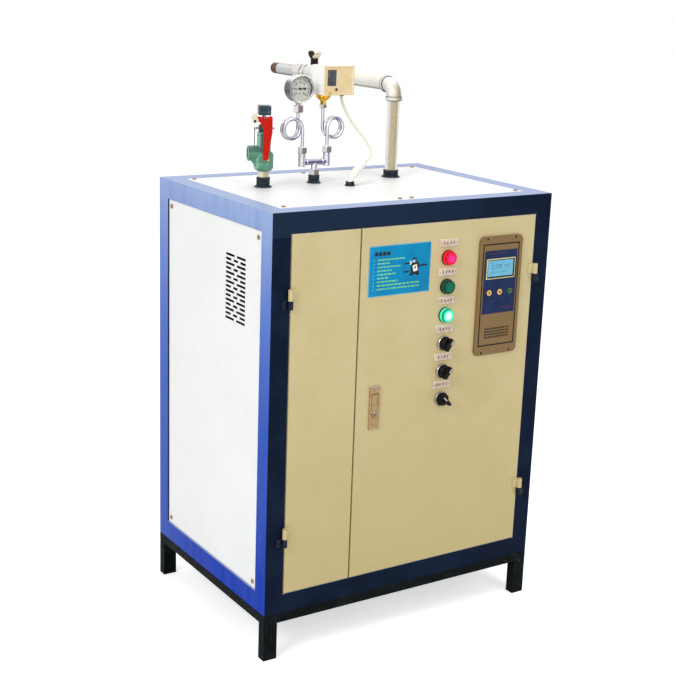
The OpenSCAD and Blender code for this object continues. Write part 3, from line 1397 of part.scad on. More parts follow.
base_frame();
cabinet_frame();
floor_pan();
side_panel_left();
side_panel_right();
back_panel();
top_panel_left();
top_panel_right();
panel_screws();
hinge_knuckles();
door_left();
door_right();
control_bezels();
lamp_lens_red();
lamp_lenses_green();
selector_knob_upper();
selector_knob_middle();
selector_knob_lower();
control_rear_blocks();
label_plates();
instruction_plate();
controller_bezel();
controller_membrane();
controller_display();
controller_key_left();
controller_key_middle();
controller_key_right();
controller_housing();
lock_plate();
lock_lever();
lock_button();
lock_tongue();
rubber_collars();
siphon_fittings();
siphon_gauge_side();
siphon_switch_side();
gauge_case();
gauge_dial();
gauge_needle();
gauge_glass();
switch_box();
switch_bellows();
switch_cable();
cable_sleeve();
steam_pipes();
steam_elbow();
outlet_valve_body();
outlet_valve_handle();
safety_valve_body();
safety_valve_spindle();
safety_valve_lever();
boiler_drum();
heating_elements();
water_tank();
feed_pump();
pump_rotor();
water_pipes();
electrical_plate();
switchgear();
drain_valve_handle();
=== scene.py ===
# %% [markdown]
# # Dressing an electric steam boiler
# The CAD model already holds every part at its real size and place. This lesson gives the parts
# their looks: rounded sheet-metal edges, paint, chrome, rubber, glass, and the small details that
# CAD leaves out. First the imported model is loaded, and the box that it fills is kept.

# %% Load the frame
import json
import math

import bmesh
import bpy
import numpy as np
from mathutils import Matrix, Vector


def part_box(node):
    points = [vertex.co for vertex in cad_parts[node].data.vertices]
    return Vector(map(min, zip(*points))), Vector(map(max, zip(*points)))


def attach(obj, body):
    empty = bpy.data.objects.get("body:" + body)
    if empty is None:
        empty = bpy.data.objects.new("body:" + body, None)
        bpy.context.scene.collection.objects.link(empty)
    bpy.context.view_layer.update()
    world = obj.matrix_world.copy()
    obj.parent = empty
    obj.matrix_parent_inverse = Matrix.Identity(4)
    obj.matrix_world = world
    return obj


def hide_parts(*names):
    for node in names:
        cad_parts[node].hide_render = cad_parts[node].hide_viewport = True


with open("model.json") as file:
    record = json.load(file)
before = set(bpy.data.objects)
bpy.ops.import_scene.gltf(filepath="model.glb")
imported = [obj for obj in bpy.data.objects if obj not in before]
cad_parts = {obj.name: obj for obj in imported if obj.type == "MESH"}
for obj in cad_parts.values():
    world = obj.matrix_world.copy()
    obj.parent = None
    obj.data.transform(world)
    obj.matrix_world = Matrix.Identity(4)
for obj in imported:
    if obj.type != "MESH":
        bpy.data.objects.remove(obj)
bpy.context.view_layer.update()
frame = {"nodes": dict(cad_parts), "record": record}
MM = 0.001
CORNER = np.array(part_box("cabinet_frame")[0])
CABINET = np.array(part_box("cabinet_frame")[1]) - CORNER


def spot(x, y, z):
    """A place counted in millimetres from the cabinet frame's front left bottom corner."""
    return CORNER + np.array([x, y, z]) * MM


print("cabinet", CABINET.round(4), "nodes", len(frame["nodes"]))

# %% [markdown]
# ## The camera
# The photograph shows three faces of a box, so its fifteen visible corners fix the camera. Its
# three axes are the rows below: right, down and away from the lens, in the cabinet's directions.
# Blender's camera looks along -Z with Y up, so the last two rows change sign.

# %% Camera
CAMERA_AXES = np.array([[0.84250598, -0.53764031, 0.03356452],
                        [-0.11242297, -0.23642377, -0.96512428],
                        [0.52682516, 0.80934955, -0.25963156]])
CAMERA_PLACE = (-1193.02, -2060.92, 1211.67)
FOCAL_PIXELS = 1332.94
FRAME_PIXELS = 675
SENSOR_MM = 36.0

camera_data = bpy.data.cameras.new("photo_camera")
camera_data.sensor_width = SENSOR_MM
camera_data.lens = FOCAL_PIXELS / FRAME_PIXELS * SENSOR_MM
camera_data.clip_end = 50
camera = bpy.data.objects.new("photo_camera", camera_data)
bpy.context.scene.collection.objects.link(camera)
turned = (CAMERA_AXES * [[1], [-1], [-1]]).T
camera.matrix_world = Matrix.Translation(spot(*CAMERA_PLACE)) @ Matrix(turned.tolist()).to_4x4()
bpy.context.scene.camera = camera
print("lens", round(camera_data.lens, 2), "mm")

# %% [markdown]
# ## Shapes from grids
# Every new piece is a grid of points: a profile turned about an axis, or a ring carried along a
# path. The helpers work on whole arrays and return points and faces, so that several shapes can
# go into one piece. Numbers in millimetres are easier to read, so the helpers scale them.

# %% Grid helpers
FRONT, BACK, UP, LEFT, RIGHT = (np.array(v, float) for v in
                                ((0, -1, 0), (0, 1, 0), (0, 0, 1), (-1, 0, 0), (1, 0, 0)))


def unit(v):
    """Each vector of an array divided by its own length."""
    v = np.asarray(v, float)
    return v / np.linalg.norm(v, axis=-1, keepdims=True)


def grid(points, ring=False):
    """Faces over a grid of points[u, v]: each cell is a quad, and v closes on itself. The first and
    last row are closed by flat faces, or joined with ring=True. Returns the points and the faces."""
    points = np.asarray(points, float)
    n, m = points.shape[:2]
    index = np.arange(n * m).reshape(n, m)
    rows, cols = np.arange(n if ring else n - 1)[:, None], np.arange(m)[None, :]
    cell = np.stack([index[rows, cols], index[rows, (cols + 1) % m],
                     index[(rows + 1) % n, (cols + 1) % m], index[(rows + 1) % n, cols]], -1)
    faces = cell.reshape(-1, 4).tolist()
    if not ring:
        faces += [index[0, ::-1].tolist(), index[-1].tolist()]
    return points.reshape(-1, 3), faces


def basis(axis):
    """Two directions square to an axis, as rows: the first is level wherever it can be."""
    axis = unit(axis)
    level = np.cross(axis, [0, 0, 1]) if abs(axis[2]) < 0.9 else np.array([1.0, 0, 0])
    level = unit(level - axis * (level @ axis))
    return level, np.cross(axis, level)


def circle(n):
    """n angles evenly round one turn, in radians."""
    return np.linspace(0, 2 * math.pi, n, endpoint=False)


def spokes(axis, angle):
    """Unit vectors square to an axis: cos a * u + sin a * w for each angle a."""
    u, w = basis(axis)
    return np.cos(angle)[:, None] * u + np.sin(angle)[:, None] * w


print("four spokes about the upright axis", spokes(UP, circle(4)).round(2).tolist())

# %% [markdown]
# Most fittings are turned on a lathe in the factory, and here too: a profile of radius and height
# goes round an axis. A closed profile gives a ring, and six steps round give a hexagon nut.

# %% Turned shapes
def lathe(place, axis, profile, around=64, ring=False):
    """A profile of (radius, height) pairs in millimetres, turned about an axis through place:
    point = place + height * axis + radius * spoke. A radius of 0 makes a pole."""
    profile = np.asarray(profile, float) * MM
    return grid(np.asarray(place) + profile[:, None, 1:] * unit(axis)
                + np.maximum(profile[:, None, :1], 1e-7) * spokes(axis, circle(around))[None], ring)


def hoop(place, axis, profile, around=64):
    """A closed profile turned about an axis: a ring with a hole."""
    return lathe(place, axis, profile, around, ring=True)


def prism(place, axis, flats, height, bevel, sides=6):
    """A bar with flat sides, such as a nut: rings at the two ends are drawn in by the bevel.
    flats is the distance across two flats, and height a pair, from and to."""
    low, high = height
    r = flats / 2 / math.cos(math.pi / sides)
    return lathe(place, axis, [(r - bevel, low), (r, low + bevel * 0.6), (r, high - bevel * 0.6),
                               (r - bevel, high)], sides)


print("a hexagon nut has", len(prism((0, 0, 0), UP, 20, (0, 12), 1)[1]), "faces")

# %% [markdown]
# Cables and bent tubes are rings along a path. The path itself is either worked out by a formula or
# drawn smoothly through a few measured points.

# %% Tubes
def tube_along(path, radius, sides):
    """A round tube along a path in metres. Each ring is square to the path, and its two directions
    are carried on from ring to ring, so that the tube doesn't twist."""
    path = np.asarray(path, float)
    heading = unit(np.gradient(path, axis=0))
    side = np.empty_like(path)
    side[0] = basis(heading[0])[0]
    for i in range(1, len(path)):
        side[i] = unit(side[i - 1] - heading[i] * (side[i - 1] @ heading[i]))
    other = np.cross(heading, side)
    angle = circle(sides)[None, :, None]
    radius = np.broadcast_to(np.asarray(radius, float), len(path))[:, None, None] * MM
    return grid(path[:, None] + (np.cos(angle) * side[:, None] + np.sin(angle) * other[:, None]) * radius)


def smooth_path(points, steps):
    """A Catmull-Rom curve through the points: between two of them, a cubic whose slope at each is
    half the step between its neighbours."""
    p = np.asarray(points, float)
    p = np.vstack([2 * p[0] - p[1], p, 2 * p[-1] - p[-2]])
    t = np.linspace(0, 1, steps, endpoint=False)[None, :, None]
    a, b, c, d = (p[i:len(p) - 3 + i, None] for i in range(4))
    curve = 0.5 * (2 * b + (c - a) * t + (2 * a - 5 * b + 4 * c - d) * t ** 2
                   + (3 * b - a - 3 * c + d) * t ** 3)
    return np.vstack([curve.reshape(-1, 3), p[-2]])


print("three points make a path of", len(smooth_path([(0, 0, 0), (1, 0, 0), (1, 1, 0)], 8)))

# %% [markdown]
# Plates have round corners, and boxes with openings are cells of a lattice. Drawing only the outer
# faces of the full cells gives one closed skin without overlaps, which a bevel can round.

# %% Plates and lattices
def slab(place, out, up, width, height, thickness, corner, edge, per_corner=6):
    """A plate with round corners and a rounded front edge. Rings of one round-cornered outline lie
    at the back, below the edge, and drawn in by it at the front. Sizes in millimetres."""
    out, up = unit(out), unit(up)
    across = np.cross(up, out)
    angle = np.linspace(0, math.pi / 2, per_corner)
    quarter = [np.stack([np.cos(angle + k * math.pi / 2), np.sin(angle + k * math.pi / 2)], -1)
               for k in range(4)]
    signs = [(1, 1), (-1, 1), (-1, -1), (1, -1)]

    def outline(inset):
        r = max(corner - inset, 0.02)
        return np.vstack([q * r + np.array(s) * [width / 2 - inset - r, height / 2 - inset - r]
                          for q, s in zip(quarter, signs)])
    rings = [(0, 0), (0, thickness - edge), (edge * 0.3, thickness - edge * 0.3), (edge, thickness)]
    points = [np.asarray(place) + (o[:, :1] * across + o[:, 1:] * up + depth * out) * MM
              for inset, depth in rings for o in [outline(inset)]]
    return grid(points)


def cells(xs, ys, zs, solid):
    """Blocks on a coarse lattice, welded into one skin. solid[i, j, k] says which cells are full,
    and a face is drawn only where a full cell meets an empty one. Sizes in millimetres."""
    full = np.pad(np.asarray(solid, bool), 1)
    shape = (len(xs), len(ys), len(zs))
    lattice = np.stack(np.meshgrid(xs, ys, zs, indexing="ij"), -1).reshape(-1, 3)
    square = np.array([(0, 0), (1, 0), (1, 1), (0, 1)])
    faces = []
    for axis in range(3):
        ahead = np.roll(full, -1, axis)
        for change, flip in ((full & ~ahead, 1), (~full & ahead, -1)):
            cell = np.argwhere(change)
            corner = np.repeat(cell[:, None] - 1, 4, 1)
            corner[..., axis] += 1
            corner[..., (axis + 1) % 3] += square[::flip, 0]
            corner[..., (axis + 2) % 3] += square[::flip, 1]
            faces.append(np.ravel_multi_index(np.moveaxis(corner, -1, 0), shape))
    return CORNER + lattice * MM, np.vstack(faces).tolist()


print("one cell has", len(cells([0, 1], [0, 1], [0, 1], [[[1]]])[1]), "faces")

# %% [markdown]
# ## From shapes to pieces
# A piece is one object with one or more shapes, each with its own finish. It takes the place of a
# CAD node, or stands beside one, and rides on the body that carries it. The mesh is merged and its
# normals are made to point outwards before any modifier sees it.

# %% Piece helpers
body_of_node = {}
for body, nodes in frame["record"]["behaviour"]["bodies"].items():
    body_of_node.update({node: body for node in nodes})
SMOOTH_ANGLE, BEVEL_ANGLE, MERGE_DISTANCE = math.radians(38), math.radians(40), 2e-6


def close_mesh(mesh, flat=False):
    """Merges doubles, turns the faces outwards and shades the mesh smooth between sharp edges."""
    b = bmesh.new()
    b.from_mesh(mesh)
    bmesh.ops.remove_doubles(b, verts=b.verts, dist=MERGE_DISTANCE)
    if flat:
        bmesh.ops.dissolve_limit(b, angle_limit=math.radians(0.5), verts=b.verts, edges=b.edges)
    bmesh.ops.recalc_face_normals(b, faces=b.faces)
    b.to_mesh(mesh)
    b.free()
    mesh.polygons.foreach_set("use_smooth", [True] * len(mesh.polygons))
    mesh.set_sharp_from_angle(angle=SMOOTH_ANGLE)


def round_edges(obj, width, segments):
    """A Bevel modifier on the sharp edges, width in millimetres."""
    m = obj.modifiers.new("round_edges", "BEVEL")
    m.width, m.segments, m.limit_method = width * MM, segments, "ANGLE"
    m.angle_limit = BEVEL_ANGLE
    m.use_clamp_overlap = True
    m.harden_normals = True


# %% [markdown]
# Two ways lead to a piece. `piece` builds one from new shapes, and `dressed` takes the CAD's own
# mesh where its form is already right, so that only the edges and the finish are new.

# %% Pieces
def piece(name, shapes, body=None, replaces=None, bevel=0, segments=2):
    """One object from [(points, faces), finish] pairs. A list of shapes may share a finish. It takes
    the body of the CAD node that it replaces and hides that node, or has its body named."""
    mesh = bpy.data.meshes.new(name)
    points, faces, finish_of = [], [], []
    finishes = []
    for shape, finish in shapes:
        if finish not in finishes:
            finishes.append(finish)
        for p, f in (shape if isinstance(shape, list) else [shape]):
            start = sum(len(q) for q in points)
            points.append(p)
            faces += [[i + start for i in face] for face in f]
            finish_of += [finishes.index(finish)] * len(f)
    mesh.from_pydata(np.vstack(points).tolist(), [], faces)
    mesh.polygons.foreach_set("material_index", finish_of)
    for finish in finishes:
        mesh.materials.append(finish)
    close_mesh(mesh)
    obj = bpy.data.objects.new(name, mesh)
    bpy.context.scene.collection.objects.link(obj)
    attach(obj, body or body_of_node[replaces])
    if replaces:
        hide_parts(replaces)
    if bevel:
        round_edges(obj, bevel, segments)
    print(name, len(mesh.polygons), "faces")
    return obj


def dressed(node, finish, bevel, segments=2):
    """A merged copy of a CAD node with rounded edges, in place of the node."""
    mesh = frame["nodes"][node].data.copy()
    mesh.name = node + "_piece"
    mesh.materials.clear()
    mesh.materials.append(finish)
    close_mesh(mesh, flat=True)
    obj = bpy.data.objects.new(mesh.name, mesh)
    bpy.context.scene.collection.objects.link(obj)
    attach(obj, body_of_node[node])
    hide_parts(node)
    round_edges(obj, bevel, segments)
    print(obj.name, len(mesh.polygons), "faces")


# %% [markdown]
# Screws are many solids in one CAD node. Walking from corner to corner along the edges finds each
# solid by itself, and its box gives the place for a better screw.

# %% Solids of a node
def solids(node):
    """The boxes of a node's separate solids, sorted from the top down, then left to right."""
    b = bmesh.new()
    b.from_mesh(frame["nodes"][node].data)
    bmesh.ops.remove_doubles(b, verts=b.verts, dist=MERGE_DISTANCE)
    seen, boxes = set(), []
    for vert in b.verts:
        if vert.index in seen:
            continue
        island, queue = [], [vert]
        seen.add(vert.index)
        while queue:
            v = queue.pop()
            island.append(v.co[:])
            for e in v.link_edges:
                w = e.other_vert(v)
                if w.index not in seen:
                    seen.add(w.index)
                    queue.append(w)
        boxes.append((np.min(island, 0), np.max(island, 0)))
    b.free()
    return sorted(boxes, key=lambda box: (-round(box[0][2], 3), round(box[0][0], 3)))


print(len(solids("panel_screws")), "screws")

# %% [markdown]
# ## Shader maths as Python
# A finish is a small recipe on numbers that change over a surface. The class below wraps a socket,
# so that `1 - mask * 0.4` adds the Math nodes by itself. Everything reads Object coordinates, which
# are the real places on the part in metres, so a grain keeps its size on every piece.

# %% Numbers on a surface
class Wire:
    """A number that changes over the surface. Arithmetic on it adds Math nodes."""

    def __init__(self, finish, socket):
        self.finish, self.socket = finish, socket

    def math(self, operation, *values):
        return self.finish.add("ShaderNodeMath", {"operation": operation}, values)

    def __add__(self, other): return self.math("ADD", self, other)
    def __sub__(self, other): return self.math("SUBTRACT", self, other)
    def __rsub__(self, other): return self.math("SUBTRACT", other, self)
    def __mul__(self, other): return self.math("MULTIPLY", self, other)
    def __gt__(self, other): return self.math("GREATER_THAN", self, other)
    def __lt__(self, other): return self.math("LESS_THAN", self, other)
    def abs(self): return self.math("ABSOLUTE", self)
    def root(self): return self.math("SQRT", self)
    def wave(self): return self.math("SINE", self)
    def clamp(self): return self.finish.add("ShaderNodeClamp", {}, (self,))

    def step(self, low, high):
        """0 below low, 1 above high, and a smooth rise between them."""
        return self.finish.add("ShaderNodeMapRange", {"interpolation_type": "SMOOTHSTEP"},
                               (self, low, high, 0.0, 1.0))


# %% [markdown]
# A finish has one Principled shader. `add` makes any node, and the other methods are the few nodes
# that nearly all finishes need: a coordinate, the surface's direction, noise, a mix and a bump.

# %% Finish class
class Finish:
    """A material with one Principled shader. constants go straight onto its sockets."""

    def __init__(self, name, color, roughness, **constants):
        self.material = bpy.data.materials.new(name)
        self.material.use_nodes = True
        self.tree = self.material.node_tree
        self.shader = self.tree.nodes["Principled BSDF"]
        self.feed("Base Color", (*color, 1))
        self.feed("Roughness", roughness)
        for socket, value in constants.items():
            self.feed(socket.replace("_", " "), value)
        self.material.diffuse_color = (*color, 1)

    def add(self, kind, settings=(), values=(), output=0):
        """Any node: its settings first, then the values or links of its sockets, by place or name."""
        node = self.tree.nodes.new(kind)
        for key, value in dict(settings).items():
            if key == "stops":
                ramp = node.color_ramp
                while len(ramp.elements) < len(value):
                    ramp.elements.new(0.5)
                for element, (place, color) in zip(ramp.elements, value):
                    element.position, element.color = place, (*color, 1)
            else:
                setattr(node, key, value)
        pairs = values.items() if isinstance(values, dict) else enumerate(values)
        for key, value in pairs:
            if isinstance(value, Wire):
                self.tree.links.new(value.socket, node.inputs[key])
            else:
                node.inputs[key].default_value = value
        return Wire(self, node.outputs[output])

    def feed(self, socket, value):
        """A value or a link into the shader's socket."""
        if isinstance(value, Wire):
            self.tree.links.new(value.socket, self.shader.inputs[socket])
        else:
            self.shader.inputs[socket].default_value = value

    def axis(self, letter, offset=0.0):
        """One Object coordinate less an offset, in metres."""
        here = self.add("ShaderNodeTexCoord", output=3)
        return self.add("ShaderNodeSeparateXYZ", {}, (here,), "xyz".index(letter)) - offset

    def facing(self, letter):
        """The surface's own direction along one axis, from -1 to 1."""
        normal = self.add("ShaderNodeTexCoord", output=1)
        return self.add("ShaderNodeSeparateXYZ", {}, (normal,), "xyz".index(letter))

    def noise(self, size, detail=3.0, rough=0.55, stretch=(1, 1, 1)):
        """Smooth noise from 0 to 1 with patches of about size, in millimetres."""
        here = self.add("ShaderNodeTexCoord", output=3)
        scale = tuple(s / (size * MM) for s in stretch)
        where = self.add("ShaderNodeMapping", {"vector_type": "POINT"}, {"Vector": here, "Scale": scale})
        return self.add("ShaderNodeTexNoise", {}, {"Vector": where, "Scale": 1.0, "Detail": detail,
                                                   "Roughness": rough})

    def mix(self, factor, a, b):
        """Two colours mixed by a factor."""
        node = self.tree.nodes.new("ShaderNodeMix")
        node.data_type = "RGBA"
        sockets = {s.identifier: s for s in node.inputs}
        for key, value in (("Factor_Float", factor), ("A_Color", a), ("B_Color", b)):
            if isinstance(value, Wire):
                self.tree.links.new(value.socket, sockets[key])
            elif key == "Factor_Float":
                sockets[key].default_value = value
            else:
                sockets[key].default_value = (*value, 1)
        return Wire(self, next(s for s in node.outputs if s.identifier == "Result_Color"))

    def bump(self, height, depth, strength=1.0):
        """A Bump node into Normal; depth in millimetres."""
        self.feed("Normal", self.add("ShaderNodeBump", {}, {"Strength": strength, "Distance": depth * MM,
                                                            "Height": height}))


# %% [markdown]
# Colours are written as they look on screen, from 0 to 255. The shader works with linear light, so
# each goes through the usual curve first.

# %% Colours
def linear(r, g, b):
    """A colour written as 0 to 255 on screen, as the linear light that the shader works with."""
    c = np.array([r, g, b]) / 255
    return tuple(np.where(c <= 0.04045, c / 12.92, ((c + 0.055) / 1.055) ** 2.4).tolist())


def stops(ramp):
    """A ramp's stops for Blender, from (place, colour) pairs with colours from 0 to 255."""
    return {"stops": [(place, linear(*color)) for place, color in ramp]}


print("middle grey as linear light", round(linear(128, 128, 128)[0], 3))

# %% [markdown]
# ## The pressure switch's cable
# The cable is the one soft thing on the boiler. It leaves the underside of the switch box, hangs
# out to the right and runs back into a white sleeve. Its route repeats the CAD's points, and a
# smooth curve goes through them.

# %% Cable
TOP_Z = 799.5
CABLE_D = 6.0
CABLE_ROUTE = [(342, 314, 179.5), (342, 314, 173), (344, 313, 163), (350, 311, 148),
               (355.2, 308.7, 137.4), (361, 306, 127), (367.1, 303.2, 117.7), (373, 300, 109),
               (378.8, 296.1, 101.3), (384, 292, 94), (391, 284, 81), (394, 276, 70), (392, 268, 60),
               (384, 262, 52), (374, 258, 46), (365, 255, 42)]
SLEEVE_ROUTE = [(365, 255, 42), (356, 252, 38), (347, 247, 34), (338, 241, 29), (329, 236, 24),
                (321, 233, 18), (317, 232, 11), (317, 232, 2), (317, 232, -8)]
SLEEVE_R = [7, 8, 8.4, 8.4, 8, 7, 6, 6, 6]

sheath = Finish("cable_sheath", linear(238, 237, 220), 0.42)
sheath.feed("Base Color", sheath.mix(sheath.noise(9), linear(238, 237, 218), linear(218, 214, 188)))
sheath.bump(sheath.noise(1.5), 0.05)
cable_path = smooth_path([spot(x, y, z + TOP_Z) for x, y, z in CABLE_ROUTE], 6)
cable = piece("switch_cable_piece", [(tube_along(cable_path, CABLE_D / 2, 14), sheath.material)],
              replaces="switch_cable")

# %% [markdown]
# ## Finishes
# Most metals on the boiler are plated or painted, so one recipe serves them: two colours mixed by
# a soft noise, a roughness that follows the same noise, and a fine bump. A second noise at a
# larger size adds the stains of use.

# %% Finish recipes
def worn(name, fresh, aged, rough, patch, grain=0.8, depth=0.02, stretch=(1, 1, 1), **constants):
    """A finish that drifts between a fresh and an aged colour, with a fine bump of its own grain."""
    f = Finish(name, linear(*fresh), rough[0], **constants)
    soil = f.noise(patch, 4, 0.6, stretch).step(0.4, 0.65)
    f.feed("Base Color", f.mix(soil, linear(*fresh), linear(*aged)))
    f.feed("Roughness", soil * (rough[1] - rough[0]) + rough[0])
    f.bump(f.noise(grain, 2, 0.5, stretch), depth)
    return f


def powder_coat(name, color, rough, drift):
    """Thick matt paint baked on sheet metal: a faint orange peel and a slow drift of its colour."""
    f = Finish(name, linear(*color), rough, Coat_Weight=0.12, Coat_Roughness=0.35)
    dark, darker = (tuple(c - n * drift for c in color) for n in (1, 2))
    shade = f.noise(140, 3).step(0.35, 0.7)
    smear = f.noise(18, 4, 0.6, (1, 1, 0.25)).step(0.55, 0.8)
    f.feed("Base Color", f.mix(smear * 0.4, f.mix(shade, linear(*color), linear(*dark)), linear(*darker)))
    f.feed("Roughness", smear * 0.1 + rough)
    f.bump(f.noise(1.6, 2) + f.noise(45, 2) * 2, 0.05, 0.5)
    return f


# %% [markdown]
# The frame's paint is glossy dark blue. It mirrors the room, so the tubes look royal blue where
# they face left, nearly black in front, and pale on top. A small room would have to be built for
# that, and the recipe gives each direction its own share of the colour instead.

# %% Cabinet paints
SIDE_PAINTED_LIGHT_BLUES = [(0.1, (22, 60, 170)), (0.3, (42, 78, 176)), (0.47, (50, 88, 182)), (0.64, (76, 106, 192)),
              (0.79, (104, 133, 202)), (0.9, (132, 156, 208)), (1.0, (154, 174, 214))]


def frame_paint():
    """Glossy blue with painted reflections and painted light: its tone follows the direction that the
    surface faces, and the sides grow lighter upwards and towards the back.
    """
    f = Finish("frame_paint", linear(16, 26, 50), 0.4, Specular_IOR_Level=0.03)
    # Painted light: side faces grow lighter upwards along this ramp, and towards the back.
    height = (f.axis("z", 0.097) * 1.25).clamp()
    side = f.add("ShaderNodeValToRGB", stops(SIDE_PAINTED_LIGHT_BLUES), (height,))
    side = f.mix(f.axis("y").step(-0.2, 0.5) * 0.55, side, linear(140, 162, 212))
    streak = f.noise(26, 3, 0.5, (1, 1, 0.2)).step(0.35, 0.7)
    side = f.mix(streak * 0.2, side, linear(84, 106, 192))
    front = f.mix(f.noise(70, 3).step(0.3, 0.7), linear(14, 25, 44), linear(20, 33, 54))
    # Painted light: front faces are lighter near the top left.
    front = f.mix((f.axis("z", 0.85) > 0.0) * (1 - f.axis("x").step(-0.1, 0.3)), front, linear(28, 42, 64))
    tone = f.mix(f.facing("x").abs().step(0.4, 0.9), front, side)
    # Painted reflection: faces that look up are pale.
    tone = f.mix(f.facing("z").step(0.4, 0.9), tone, linear(158, 172, 206))
    grime = f.noise(9, 4, 0.65).step(0.62, 0.8) * f.noise(120, 2).step(0.4, 0.7)
    f.feed("Base Color", f.mix(grime * 0.4, tone, linear(18, 24, 40)))
    f.feed("Roughness", grime * 0.3 + 0.36)
    f.bump(f.noise(2.2, 2) + f.noise(30, 2) * 1.5, 0.04, 0.6)
    return f


def base_paint():
    """Matt black with chips down to grey primer and dusty patches."""
    f = Finish("base_paint", linear(9, 10, 11), 0.5, Specular_IOR_Level=0.04)
    chips = f.noise(5, 5, 0.7).step(0.64, 0.68) * f.noise(60, 2).step(0.45, 0.6)
    dust = f.noise(35, 4, 0.6).step(0.45, 0.75)
    tone = f.mix(dust * 0.5, linear(14, 18, 20), linear(34, 38, 40))
    f.feed("Base Color", f.mix(chips, tone, linear(120, 116, 106)))
    f.feed("Roughness", dust * 0.25 + 0.42)
    f.bump(f.noise(1.4, 3) - chips, 0.06)
    return f


def door_paint():
    """Cream powder coat with painted light: a little browner towards the floor as a painted warm
    reflection, and a near-white painted highlight on the doors' upward faces.
    """
    f = powder_coat("door_paint", (197, 182, 136), 0.42, 5)
    # Painted reflection: browner towards the floor.
    low = 1 - f.axis("z", 0.1).step(0.0, 0.75)
    smooth = f.noise(90, 3).step(0.3, 0.7)
    fresh = f.mix(smooth, linear(202, 186, 139), linear(197, 180, 130))
    fresh = f.mix(low * 0.75, fresh, linear(190, 171, 116))
    # Painted highlight: faces that look up, above 0.84 m, are near white.
    f.feed("Base Color", f.mix(f.facing("z").step(0.5, 0.9) * (f.axis("z", 0.84) > 0.0), fresh,
                               linear(246, 243, 232)))
    return f


# %% [markdown]
# Bright metal shows the room as stripes along its curves: white where it faces a window, dark
# beside that, and a violet tinge at the rims. Such a finish paints these reflections in: it looks
# its colour up in a ramp, by the direction that the surface faces. A second ramp paints light and
# shade on the surfaces that face up or down, darker underneath.

# %% Striped metals
RIGHTWARD = (0.869, -0.494)


def striped(name, across, upright, rough=0.2, metallic=0.3, stain=0.25, patch=9.0, **constants):
    """A finish with painted reflections: one ramp over the level directions, from left to right, and
    one from down to up.
    """
    f = Finish(name, linear(*across[0][1]), rough, Metallic=metallic, **constants)
    level = f.facing("x") * RIGHTWARD[0] + f.facing("y") * RIGHTWARD[1]
    ramps = [f.add("ShaderNodeValToRGB", stops(ramp), (value * 0.5 + 0.5,))
             for ramp, value in ((across, level), (upright, f.facing("z")))]
    tone = f.mix(f.facing("z").abs().step(0.35, 0.9), *ramps)
    soil = f.noise(patch, 4, 0.6).step(0.45, 0.75)
    f.feed("Base Color", f.mix(soil * stain, tone, linear(120, 112, 104)))
    f.feed("Roughness", soil * 0.15 + rough)
    f.bump(f.noise(1.2, 2), 0.015)
    return f


